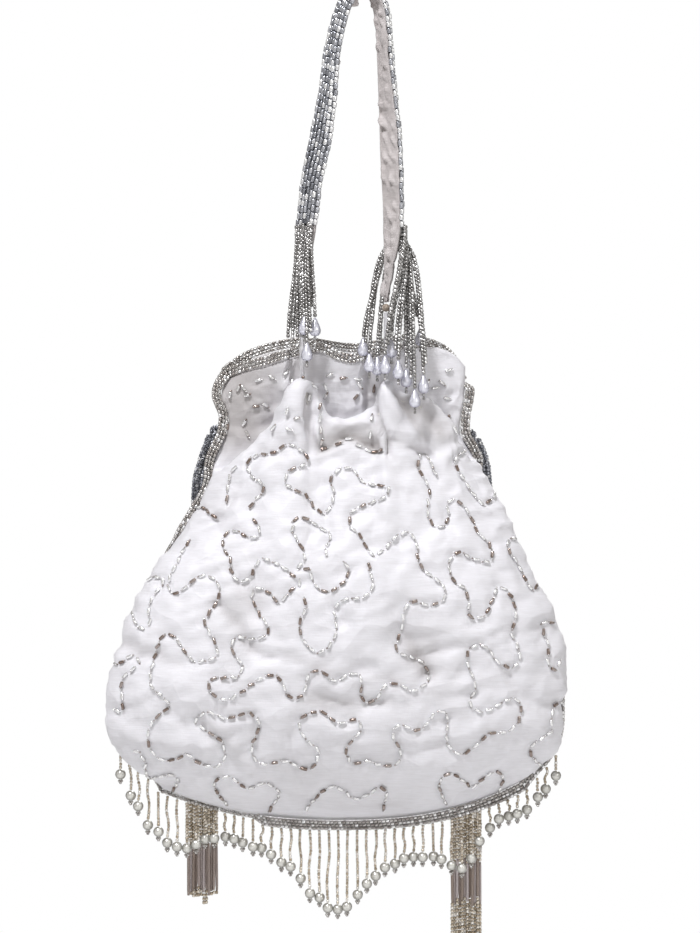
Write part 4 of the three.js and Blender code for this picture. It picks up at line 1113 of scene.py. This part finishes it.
# Three tiny beads under each pearl, as how far to the side and how many beads down.
TIP_PLACES = ((-0.55, 0.55), (0.6, 0.6), (0, 1.5))
TIP_DIRECTION = (1, 0.3, 0.2)
PEARL_GAP = 0.2
FRINGE_PITCH = (FRINGE_RIGHT - FRINGE_LEFT) / (FRINGE_COUNT - 1)
# Neighbouring pearls are wider than the pitch, so they hang by turns forward and back.
FRINGE_STAGGER = math.sqrt(max(0, (2 * PEARL_RADIUS + PEARL_GAP) ** 2 - FRINGE_PITCH**2)) / 2
fringe_pearls = profile([
    (-112.6, 30), (-103, 14), (-95, 1.5), (-84, -8), (-78, -9.5), (-66, -4.5), (-58, -3.5), (-40, -9),
    (-26, -18), (-13, -33), (-3, -40.5), (4, -38.5), (13, -27), (24, -18.5), (34, -13.8), (48, -13.5),
    (60, -19.5), (67, -14), (73, 0), (82, 6.5), (92, 8.5), (100, 17), (110, 28),
])


def modelled_pearl(segments, rings, dimple):
    """A pearl one unit across, with a small drill hole at each end."""
    bpy.ops.object.select_all(action="DESELECT")
    bpy.ops.mesh.primitive_uv_sphere_add(segments=segments, ring_count=rings, radius=0.5)
    corners, faces = as_shape(bpy.context.active_object)
    corners[np.abs(corners[:, 2]) > 0.499, 2] *= 1 - dimple
    return corners, faces


PEARL = modelled_pearl(segments=14, rings=8, dimple=0.12)
header = border_line(FRONT, front_grid, HEADER_OUT - BORDER_OFF_SEAM, 0)
header = header[header[:, 2] < HEADER_TOP]
header = header[np.argsort(header[:, 0])]
fringe_dice = random.Random("fringe")
fringe_strands, fringe_ends, fringe_tips = [], [], []
for i in range(FRINGE_COUNT):
    x = FRINGE_LEFT + FRINGE_PITCH * i
    z = float(np.interp(x, header[:, 0], header[:, 2]))
    end = float(fringe_pearls(x))
    sway = fringe_dice.uniform(-0.5, 0.5)
    top = np.array([x, 0.0, z + 1.0])
    forward = FRINGE_STAGGER if i % 2 else -FRINGE_STAGGER
    foot = np.array([x + sway, forward, end + PEARL_RADIUS])
    bow = fringe_dice.uniform(-0.7, 0.7)
    bend = np.array([bow, 0, 0])
    line = smooth_line([top, (top * 2 + foot) / 3 + bend, (top + foot * 2) / 3 - bend, foot], 6)
    fringe_strands += seeds_along(line, FRINGE_BEAD, fringe_dice, jitter=0.06)
    pearl = foot - [0, 0, PEARL_RADIUS]
    fringe_ends.append((PEARL, pearl, (0, 0, 1), 2 * PEARL_RADIUS, 2 * PEARL_RADIUS, 0.5))
    for aside, low in TIP_PLACES:
        tip = pearl - [aside, 0, PEARL_RADIUS + low * TIP_BEAD * 0.8]
        tone = fringe_dice.uniform(0, 0.8)
        fringe_tips.append((SEED, tip, TIP_DIRECTION, TIP_BEAD * 1.15, TIP_BEAD, tone))
fringe_beads = strung("fringe_strands", fringe_strands)
finish_piece(fringe_beads, TAUPE_BEADS, "bag", ["pearl_fringe"])
fringe_tip_piece = strung("fringe_tips", fringe_tips)
finish_piece(fringe_tip_piece, SILVER_BEADS, "bag")
fringe_pearl_piece = strung("fringe_pearls", fringe_ends)
finish_piece(fringe_pearl_piece, ROUND_PEARL, "bag")
print("fringe beads", len(fringe_strands))

# %% [markdown]
# The strap handle is a fabric tape, faced with cut beads on its outer side. It could be swept along
# a curve with the Curve modifier, but rows of points let it turn by 22 to 43 degrees about the
# upright axis on the way, so that the left leg shows its beads and the right leg its wrinkled lining.

# %% Strap handle
HANDLE_LINE = [
    (-19, 265), (-18, 280), (-16.8, 296), (-15.2, 313), (-13.2, 328), (-10, 343), (-7.2, 358),
    (-5, 373), (-3.4, 388), (-0.6, 402), (4, 415), (11.5, 424), (18.6, 415),
    (21, 402), (22, 386), (23, 371), (24.2, 356), (25, 341), (25.6, 326), (26, 313), (26, 300),
    (25, 284), (23.2, 265),
]
HANDLE_Y = -14.0
# How far the strap is turned about the upright axis, in degrees, by height.
STRAP_TURNS = smooth_profile([(255, 35), (300, 36), (316, 38), (341, 43), (356, 37), (386, 25), (430, 22)])
STRAP_WIDTH = 13.0
TAPE_THICKNESS = 1.5
TIP_WIDTH = 2.4
TAPER_TOP = 300.0
TAPER_LOW = 265.0
FACING_LOW = 302.0
FACING_GAP = 0.3
LINING_WRINKLE = 1.5
BACKING_THICKNESS = 0.5

handle_path = smooth_line([(x, HANDLE_Y, z) for x, z in HANDLE_LINE], 12)
handle_along = np.gradient(handle_path, axis=0)
strap_turn = np.radians(STRAP_TURNS(handle_path[:, 2]))
strap_across = np.stack([-np.sin(strap_turn), np.cos(strap_turn), 0 * strap_turn], axis=1)
handle_out = np.cross(handle_along, strap_across)
handle_out /= np.linalg.norm(handle_out, axis=1, keepdims=True)


def strap_width(z):
    share = np.clip((z - TAPER_LOW) / (TAPER_TOP - TAPER_LOW), 0, 1)
    return TIP_WIDTH + (STRAP_WIDTH - TIP_WIDTH) * share


def strap_grid(keep, height, across_steps, wrinkle, reach=(1.0, 1.0)):
    """Rows across the strap, at a height outside its middle line, to a reach at each edge."""
    rows = []
    for i in np.flatnonzero(keep):
        centre, out = handle_path[i], handle_out[i]
        half = strap_width(centre[2]) / 2
        row = []
        for k in range(across_steps + 1):
            share = (reach[0] + reach[1]) * k / across_steps - reach[0]
            slant = noise.noise(Vector((i * 0.30 + share * 1.3, share * 0.9 - i * 0.10, 3.0)))
            inside = 1 - abs(share) ** 3 / max(reach) ** 3
            lift = height + wrinkle * inside * (1.6 * slant - 2.2 * abs(slant))
            row.append(centre + strap_across[i] * half * share + out * lift)
        rows.append(row)
    return np.array(rows)


whole_strap = np.ones(len(handle_path), dtype=bool)
tape_grid = strap_grid(whole_strap, -TAPE_THICKNESS / 2, 24, LINING_WRINKLE)
tape = cloth_from_grid("handle_lining", tape_grid)
apply_modifier(tape, "SOLIDIFY", thickness=TAPE_THICKNESS * MM, offset=-1)
finish_piece(tape, STRAP_LINING, "handle", ["handle_tape"])

# %% [markdown]
# Five columns of cut beads cover the strap's outer side and a sixth lies along its front edge. They
# are strung column by column on a thin backing, as a bead worker sews them.

# %% Beads of the strap
faced = handle_path[:, 2] > FACING_LOW
facing_height = TAPE_THICKNESS / 2 + FACING_GAP
# A thin backing under the beads. It takes the darkest tone of the bead finish, which is partly its own
# dark thread and partly painted shade in the gaps between the beads.
backing = cloth_from_grid("handle_facing", strap_grid(faced, facing_height, 6, 0.0))
apply_modifier(backing, "SOLIDIFY", thickness=BACKING_THICKNESS * MM, offset=-1)
finish_piece(backing, HANDLE_BEADS, "handle")

HANDLE_COLUMNS = 5
HANDLE_BEAD = 2.2
CUT_LENGTH = 3.3
COLUMN_REACH = 0.86
BRIGHT_COLUMNS = 2
BRIGHT_COLUMN_TONE = 0.3
# One more column lies along the tape's front edge: how far across, and how far out.
EDGE_COLUMN = (1.1, 0.45)
handle_dice = random.Random("handle")
column_reach = (COLUMN_REACH, COLUMN_REACH)
facing_rows = strap_grid(faced, facing_height + 1.0, HANDLE_COLUMNS - 1, 0.0, column_reach)
edge_column = strap_grid(faced, EDGE_COLUMN[1], 1, 0.0, (EDGE_COLUMN[0], 1.0))[:, 0]
handle_beads = []
for k, column in enumerate([edge_column, *facing_rows.transpose(1, 0, 2)]):
    start = handle_dice.randrange(3)
    pitch = CUT_LENGTH * handle_dice.uniform(0.94, 1.04)
    beads = seeds_along(column[start:], HANDLE_BEAD, handle_dice, pitch, 0.24, length=0.88, shape=BUGLE)
    if k < BRIGHT_COLUMNS:
        beads = [(*bead[:5], min(1, bead[5] + BRIGHT_COLUMN_TONE)) for bead in beads]
    handle_beads += beads
handle_facing_beads = strung("handle_facing_beads", handle_beads)
finish_piece(handle_facing_beads, HANDLE_BEADS, "handle", ["handle_bead_facing"])
print("handle beads", len(handle_beads))

# %% [markdown]
# Strands of seed beads run on from the ends of the bead facing and make a tassel at each side. Most
# of them end in a drop pearl that is held by two tiny beads.

# %% Handle tassels
# Each strand: its start across the strap, its layer, x and y at the knee, its end, and whether a drop
# pearl hangs from it.
LEFT_STRANDS = [
    (6.1, 0, (-22.4, -10), (-26, -20.5, 247), False),
    (4.05, 0, (-21.4, -12.6), (-23.6, -21.5, 246.5), False),
    (2, 0, (-21.2, -16.2), (-21.2, -22, 247), False),
    (-0.05, 0, (-19.4, -18.8), (-18.5, -22.6, 247), False),
    (-2.1, 0, (-18.4, -21.6), (-17.8, -27, 257.6), True),
    (-4.15, 0, (-17, -24.4), (-16.4, -32, 244.6), True),
    (-6.5, 0, (-13.9, -22), (-12.4, -23.4, 257.2), True),
]
RIGHT_STRANDS = [
    (7.2, 0, (20.6, -8), (11.6, -24.5, 247.2), True),
    (5.6, 1, (20.5, -4.8), (14.6, -31.5, 239.2), True),
    (3.2, 1, (23.2, -3.6), (18.6, -25.2, 237.7), True),
    (-7, 0, (30, -24), (22.4, -31, 238.2), True),
    (-4.2, 0, (31, -19.8), (25.6, -25, 246.3), True),
    (-5, 1, (33.2, -20.6), (29, -30.8, 235.7), True),
    (-1.4, 0, (31.6, -15.6), (33, -25.2, 231.7), True),
    (-2.4, 1, (35, -17.4), (37.2, -31.5, 221.5), True),
    (1.2, 0, (32.4, -11.2), (40.2, -17.8, 252.5), True),
    (0.2, 1, (36.6, -13.6), (41.6, -26.6, 228.6), True),
]
STRAND_OFF_TAPE = 0.7
KNEE_Z = 284.0
LAYER_STEP = 2.2
DROP_LENGTH = 9.2
FACING_THICKNESS = 1.5
tassel_bodies = {"left": ["left_handle_tassel"] * 7}
tassel_bodies["right"] = ["right_inner_tassel"] * 3 + ["right_outer_tassel"] * 7


def modelled_drop():
    """A drop pearl from its waist line, spun round the upright axis, hanging down from z = 0."""
    outline = [
        (0.35, 0), (0.9, -0.7), (1.5, -2.2), (2.35, -4.2), (2.95, -6.1),
        (2.75, -7.8), (1.8, -8.9), (0.5, -9.2),
    ]
    bpy.ops.object.select_all(action="DESELECT")
    bpy.ops.mesh.primitive_plane_add(size=1)
    drop = bpy.context.active_object
    bpy.ops.object.mode_set(mode="EDIT")
    bpy.ops.mesh.select_all(action="SELECT")
    bpy.ops.mesh.delete(type="VERT")
    bpy.ops.object.mode_set(mode="OBJECT")
    corners = [(r, 0, z) for r, z in outline]
    drop.data.from_pydata(corners, [(i, i + 1) for i in range(len(corners) - 1)], [])
    bpy.ops.object.mode_set(mode="EDIT")
    bpy.ops.mesh.select_all(action="SELECT")
    bpy.ops.mesh.spin(steps=14, angle=2 * math.pi, center=(0, 0, 0), axis=(0, 0, 1))
    bpy.ops.mesh.select_all(action="SELECT")
    bpy.ops.mesh.remove_doubles(threshold=0.001)
    bpy.ops.mesh.edge_face_add()
    bpy.ops.mesh.fill_holes(sides=20)
    bpy.ops.mesh.normals_make_consistent(inside=False)
    bpy.ops.object.mode_set(mode="OBJECT")
    return as_shape(drop)


DROP = modelled_drop()
print("drop faces", len(DROP[1]))

# %% [markdown]
# Each strand is a smooth line from the strap's end over a knee, where it turns down, to its own end.
# Seed beads are threaded on it. A second strand close behind fills the tassel.

# %% Strands of the handle tassels


def strand_line(side, start, layer, knee, end, lift):
    end_row = np.flatnonzero(faced)[0 if side < 0 else -1]
    place = handle_path[end_row]
    turn = strap_turn[end_row]
    out = np.array([math.cos(turn), math.sin(turn), 0]) * side
    away = facing_height + FACING_THICKNESS / 2 + STRAND_OFF_TAPE + layer * LAYER_STEP
    top = place + strap_across[end_row] * start + out * away
    top[2] = place[2] + 1.0 + lift
    knee = np.array([*knee, KNEE_Z])
    end = np.array(end, dtype=float)
    low = knee + (end - knee) * 0.7
    low[0] += (end[0] - knee[0]) * 0.12
    return smooth_line([top, top - [0, 0, 5], knee, low, end])


# Each strand has a second one close behind it. This is how far that one lies to the side.
SECOND_ASIDE = {
    "left": (1.2, 1.3, 1.2, -1.2, 1.6, 1.8, -1.9),
    "right": (1.9, -1.9, 1.4, 1.6, -1.7, -1.5, 1.8, -1.9, -1.8, 1.2),
}
BEHIND = 1.9
TASSEL_BEAD = 2.15
SHORTER = 5.0
DROP_GAP = 0.3
DROP_TIP_BEAD = 1.6

for side_name, side, strands in (("left", -1, LEFT_STRANDS), ("right", 1, RIGHT_STRANDS)):
    for i, (start, layer, knee, end, drops) in enumerate(strands):
        name = f"{side_name}_strand_{i + 1}"
        body = tassel_bodies[side_name][i]
        dice = random.Random(name)
        line = strand_line(side, start, layer, knee, end, dice.uniform(-1.2, 0.6))
        beads = seeds_along(line, TASSEL_BEAD, dice, pitch=STRAND_BEAD, jitter=0.08)
        share = np.linspace(0.15, 1, len(line))[:, None]
        rise = np.linspace(dice.uniform(-1, 1), SHORTER, len(line))[:, None]
        second = line + share * [SECOND_ASIDE[side_name][i], BEHIND, 0] + rise * [0, 0, 1]
        beads += seeds_along(second, TASSEL_BEAD, dice, pitch=STRAND_BEAD, jitter=0.08)
        if drops:
            crown = np.array(end) - [0, 0, DROP_GAP]
            for k in range(2):
                tip = crown - [0, 0, DROP_LENGTH + (k + 0.5) * DROP_TIP_BEAD]
                beads.append((SEED, tip, (0, 0, 1), DROP_TIP_BEAD, 1.5, dice.random()))
            hung = [(DROP, crown, (0, 0, 1), 1, 1, 0.5)]
            drop = strung(f"{side_name}_drop_pearl_{i + 1}", hung)
            finish_piece(drop, DROP_PEARL, body, [f"{side_name}_drop_{i + 1}"])
        piece = strung(f"{name}_beads", beads)
        finish_piece(piece, TASSEL_BEADS, body, [name])

# %% [markdown]
# Two long tassels hang behind the bag from the sides of the neck. Their tops are dark slate beads,
# and their ends are long bugles, as the photograph shows where they come out below the bag.

# %% Side tassels
SIDE_ROUTES = {
    "left": [
        (-62.5, 6.9, 199), (-66, 9.6, 188), (-69, 14, 176), (-69.5, 24, 150), (-70, 32.5, 112),
        (-70.6, 34, 70),
    ],
    "right": [
        (65.5, 7.3, 197), (68.6, 9.6, 188), (70, 14, 176), (69, 24.5, 150), (65.5, 33, 112),
        (63.5, 34.5, 70),
    ],
}
SIDE_FEET = {"left": (-71, 34), "right": (63.5, 34.5)}
SIDE_ENDS = {"left": (-36, -37, -36.5, -40.5, -36, -35.5), "right": (-63, -64.5, -64, -65, -63.5, -64)}
BUNDLE = ((-6.4, 0), (-3.8, 0.9), (-1.2, 0), (1.4, 0.9), (4, 0), (6.6, 0.9))
BESIDE = 1.3
BESIDE_BACK = 1.7
BUGLE_FROM = {"left": -9.0, "right": -18.5}
BUGLE_LENGTHS = {"left": 25.5, "right": 21.0}
LONG_BUGLE_WIDTH = 1.55
BUNDLE_TOP_SHARE = 0.62
BUNDLE_TOP_DEPTH = 2.6
SLATE_ABOVE = 158.0
KNOT_BEADS = 26
KNOT_RADIUS = 2.6
# The turn from one bead of a knot to the next, in radians, which spreads them evenly
KNOT_TURN = 2.4


def side_line(side_name, i, across, back):
    route = SIDE_ROUTES[side_name]
    line = []
    for k, (x, y, z) in enumerate(route):
        share = k / (len(route) - 1)
        spread = BUNDLE_TOP_SHARE + (1 - BUNDLE_TOP_SHARE) * share
        depth = BUNDLE_TOP_DEPTH * (1 - share) + share
        line.append((x + across * spread, y + back * depth, z))
    foot = SIDE_FEET[side_name]
    line.append((foot[0] + across, foot[1] + back, 0))
    line.append((foot[0] + across, foot[1] + back, SIDE_ENDS[side_name][i]))
    return smooth_line(line, 16)


for side_name in SIDE_ROUTES:
    body = f"{side_name}_side_tassel"
    tops, bugles = [], []
    for i, (across, back) in enumerate(BUNDLE):
        dice = random.Random(f"{side_name} side {i}")
        beads = []
        for aside, behind in ((0, 0), (BESIDE, BESIDE_BACK)):
            line = side_line(side_name, i, across + aside, back + behind)
            start = BUGLE_FROM[side_name] + dice.uniform(-1.5, 1.5)
            stop = start - BUGLE_LENGTHS[side_name] + dice.uniform(-2, 2)
            for bead in seeds_along(line, STRAND_BEAD, dice, jitter=0.1, shape=SEED):
                if bead[1][2] > SLATE_ABOVE:
                    tops.append(bead)
                elif not stop < bead[1][2] < start:
                    beads.append(bead)
            stop = max(stop, SIDE_ENDS[side_name][i])
            x, y = line[-1][:2]
            middle = np.array([x, y, (start + stop) / 2])
            lean = np.array([dice.uniform(-0.02, 0.02), 0, 1])
            bugles.append((BUGLE, middle, lean, LONG_BUGLE_WIDTH, start - stop, dice.random()))
        piece = strung(f"{side_name}_side_strand_{i + 1}_beads", beads)
        finish_piece(piece, TAUPE_BEADS, body, [f"{side_name}_side_strand_{i + 1}"])
    knot = np.array(SIDE_ROUTES[side_name][0]) + [0, 0, 1.5]
    dice = random.Random(f"{side_name} knot")
    for k in range(KNOT_BEADS):
        height = 1 - 2 * (k + 0.5) / KNOT_BEADS
        around = k * KNOT_TURN
        flat = math.sqrt(1 - height * height)
        direction = np.array([flat * math.cos(around), flat * math.sin(around), height])
        place = knot + direction * KNOT_RADIUS
        thread = np.cross(direction, (0.3, 0.2, 1))
        tops.append((SEED, place, thread, STRAND_BEAD, 1.8, dice.random()))
    top = strung(f"{side_name}_side_top_beads", tops)
    finish_piece(top, SLATE_BEADS, body, [f"{side_name}_side_knot"])
    long_bugles = strung(f"{side_name}_side_bugles", bugles)
    finish_piece(long_bugles, LONG_BUGLES, body)

# %% [markdown]
# Now the bead lines are laid on the finished silk, silver-lined bugles and tiny seed beads in turn. A
# Shrinkwrap modifier could press them on too. A ray from the viewer through each point is simpler, and
# it keeps each line where the photograph shows it. The back gets the same lines, mirrored.

# %% Lay the lines on the silk
BUGLE_LENGTH = 3.2
BUGLE_WIDTH = 1.65
TINY_BEAD = 0.95
# The share of the bugles given a dark tone: painted shade, for bugles that show their dark side.
PAINTED_DARK_SHARE = 0.36
UNIT = BUGLE_LENGTH + TINY_BEAD + 1.25


def tree_of(piece):
    return BVHTree.FromObject(piece, bpy.context.evaluated_depsgraph_get())


def on_cloth(tree, x, z, sign):
    """Where a ray from the front or the back meets the cloth, in the bag's millimetres."""
    start = Vector(placed((x, sign * 200, z)))
    hit, normal, _, _ = tree.ray_cast(start, Vector((0, -sign, 0)))
    if hit is None:
        return None, None
    return np.array(hit) / MM + HANG_POINT, np.array(normal)


def couched(line, tree, sign, dice):
    """Bugles and tiny beads in turn along a line that is given by x and z."""
    beads = []
    fine = smooth_line(line, 6)
    spots = [on_cloth(tree, x, z, sign) for x, z in fine]
    spots = [(hit, normal) for hit, normal in spots if hit is not None]
    if len(spots) < 2:
        return beads
    raised = np.array([hit + normal * BUGLE_WIDTH * 0.45 for hit, normal in spots])
    centres, directions = evenly(raised, UNIT)
    for centre, direction in zip(centres, directions):
        across = np.cross(direction, [0, 1, 0])
        askew = direction + across * dice.gauss(0, 0.2)
        tip = centre + direction * (BUGLE_LENGTH + TINY_BEAD + 0.3) / 2
        size = BUGLE_LENGTH * dice.uniform(0.9, 1.05)
        tone = dice.uniform(0, 0.16) if dice.random() < PAINTED_DARK_SHARE else dice.uniform(0.45, 1)
        beads.append((BUGLE, centre, askew, BUGLE_WIDTH * dice.uniform(0.92, 1.08), size, tone))
        beads.append((SEED, tip, askew, TINY_BEAD, TINY_BEAD * 0.9, dice.uniform(0.14, 0.5)))
    return beads


def single_bugle(place, slope, tree, sign, dice):
    """One bugle sewn on by itself, with a tiny bead at its end."""
    turn = math.radians(slope)
    ahead = np.array([math.cos(turn), math.sin(turn)])
    spots = [on_cloth(tree, *(place + ahead * step), sign) for step in (-1.6, 0, 1.6)]
    if any(hit is None for hit, normal in spots):
        return []
    low, middle, high = [hit + normal * BUGLE_WIDTH * 0.5 for hit, normal in spots]
    direction = (high - low) / np.linalg.norm(high - low)
    tip = middle + direction * (BUGLE_LENGTH + TINY_BEAD + 0.2) / 2
    tone = dice.random()
    return [
        (BUGLE, middle, direction, BUGLE_WIDTH, BUGLE_LENGTH, tone),
        (SEED, tip, direction, TINY_BEAD, TINY_BEAD * 0.9, dice.random()),
    ]


line_dice = random.Random("vermicelli")
front_tree, back_tree = tree_of(front_silk), tree_of(back_silk)
front_line_beads, back_line_beads = [], []
for pixels in BEAD_LINES:
    line = from_photo(pixels)
    front_line_beads += couched(line, front_tree, -1, line_dice)
    back_line_beads += couched(line * [-1, 1], back_tree, 1, line_dice)
for u, v, slope in SINGLE_BUGLES:
    place = from_photo([(u, v)])[0]
    front_line_beads += single_bugle(place, slope, front_tree, -1, line_dice)
    back_line_beads += single_bugle(place * [-1, 1], -slope, back_tree, 1, line_dice)
front_lines = strung("front_bead_lines", front_line_beads)
finish_piece(front_lines, BUGLE_BEADS, "bag")
back_lines = strung("back_bead_lines", back_line_beads)
finish_piece(back_lines, BUGLE_BEADS, "bag")
print("couched beads", len(front_line_beads), len(back_line_beads))

# %% [markdown]
# The carried-over solids keep their shape: the drawstring and the knots at the handle's ends.

# %% Carried-over pieces
for node, material in (("drawstring", PALE_CORD), ("left_knot", CORD), ("right_knot", CORD)):
    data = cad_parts[node].data
    data.materials.clear()
    data.materials.append(material)

# %% [markdown]
# The stage is a pale floor under a world that the camera sees as plain white. The beads mirror a
# studio instead: bright toward the four sides, dimmer between them and above and below, so that each
# bead shows a white streak with darker edges. All other light is soft, even and a little warm, with a
# cooler key lamp high in front.

# %% Stage and light
FLOOR_Z = -0.56
AMBIENT = 0.29
STUDIO_BRIGHT = 1.3
STUDIO_DIM = 0.14
STUDIO_CORNER = 0.42
STUDIO_FALL = 0.55
WARM_LIGHT = (1, 0.975, 0.945, 1)


def calculation(tree, operation, *values):
    node = tree.nodes.new("ShaderNodeMath")
    node.operation = operation
    for socket, value in zip(node.inputs, values):
        if isinstance(value, (int, float)):
            socket.default_value = value
        else:
            tree.links.new(value, socket)
    return node.outputs["Value"]


def white_stage(name):
    material, tree, surface = new_material(name)
    shader(surface, Base_Color=(0.8, 0.8, 0.8, 1), Roughness=0.9)
    glow = tree.nodes.new("ShaderNodeEmission")
    mix = tree.nodes.new("ShaderNodeMixShader")
    rays = tree.nodes.new("ShaderNodeLightPath")
    seen = calculation(tree, "MAXIMUM", rays.outputs["Is Camera Ray"], rays.outputs["Is Transmission Ray"])
    tree.links.new(seen, mix.inputs["Fac"])
    tree.links.new(surface.outputs["BSDF"], mix.inputs[1])
    tree.links.new(glow.outputs["Emission"], mix.inputs[2])
    tree.links.new(mix.outputs["Shader"], tree.nodes["Material Output"].inputs["Surface"])
    return material


WHITE_STAGE = white_stage("stage_white")
bpy.ops.object.select_all(action="DESELECT")
bpy.ops.mesh.primitive_plane_add(size=8, location=(0, 0, FLOOR_Z))
floor = bpy.context.active_object
floor.name = "floor"
floor.data.materials.append(WHITE_STAGE)

world = bpy.data.worlds.new("studio")
world.use_nodes = True
bpy.context.scene.world = world
sky = world.node_tree
rays = sky.nodes.new("ShaderNodeLightPath")
direction = sky.nodes.new("ShaderNodeSeparateXYZ")
sky.links.new(sky.nodes.new("ShaderNodeTexCoord").outputs["Generated"], direction.inputs["Vector"])
corner = calculation(sky, "MULTIPLY", direction.outputs["X"], direction.outputs["Y"])
corner = calculation(sky, "ABSOLUTE", corner)
studio = sky.nodes.new("ShaderNodeMapRange")
studio.inputs["From Max"].default_value = STUDIO_CORNER
studio.inputs["To Min"].default_value = STUDIO_BRIGHT
studio.inputs["To Max"].default_value = STUDIO_DIM
upright = calculation(sky, "ABSOLUTE", direction.outputs["Z"])
height = calculation(sky, "MULTIPLY", upright, STUDIO_FALL)
sky.links.new(calculation(sky, "MAXIMUM", corner, height), studio.inputs["Value"])
mirrored = calculation(sky, "MULTIPLY", rays.outputs["Is Glossy Ray"], studio.outputs["Result"])
seen = calculation(sky, "MAXIMUM", rays.outputs["Is Camera Ray"], rays.outputs["Is Transmission Ray"])
strength = calculation(sky, "MAXIMUM", AMBIENT, mirrored)
strength = calculation(sky, "MAXIMUM", strength, seen)
background = sky.nodes["Background"]
sky.links.new(strength, background.inputs["Strength"])
tint = sky.nodes.new("ShaderNodeMixRGB")
tint.inputs["Color1"].default_value = WARM_LIGHT
tint.inputs["Color2"].default_value = (1, 1, 1, 1)
sky.links.new(seen, tint.inputs["Fac"])
sky.links.new(tint.outputs["Color"], background.inputs["Color"])

# %% [markdown]
# Three lamps. The key is small enough to draw the folds, and the other two only lift the shadows, one
# from the front right and one from behind, so that the bag reads from all sides.

# %% Lamps


def area_light(name, place, target, size, power, colour=(1, 1, 1)):
    data = bpy.data.lights.new(name, "AREA")
    data.size = size
    data.energy = power
    data.color = colour
    lamp = bpy.data.objects.new(name, data)
    lamp.location = place
    lamp.rotation_euler = (Vector(target) - Vector(place)).to_track_quat("-Z", "Y").to_euler()
    bpy.context.scene.collection.objects.link(lamp)


BAG_MIDDLE = (0, 0, -0.3)
area_light("key", (-0.45, -0.95, 1.15), BAG_MIDDLE, 0.3, 24.5, (0.965, 0.97, 1))
area_light("fill", (1.1, -1.2, 0.3), BAG_MIDDLE, 0.8, 4)
area_light("back", (0.3, 1.3, 0.8), BAG_MIDDLE, 0.8, 14)

bpy.context.scene.view_settings.view_transform = "Standard"
print("lamps", len(bpy.data.lights))
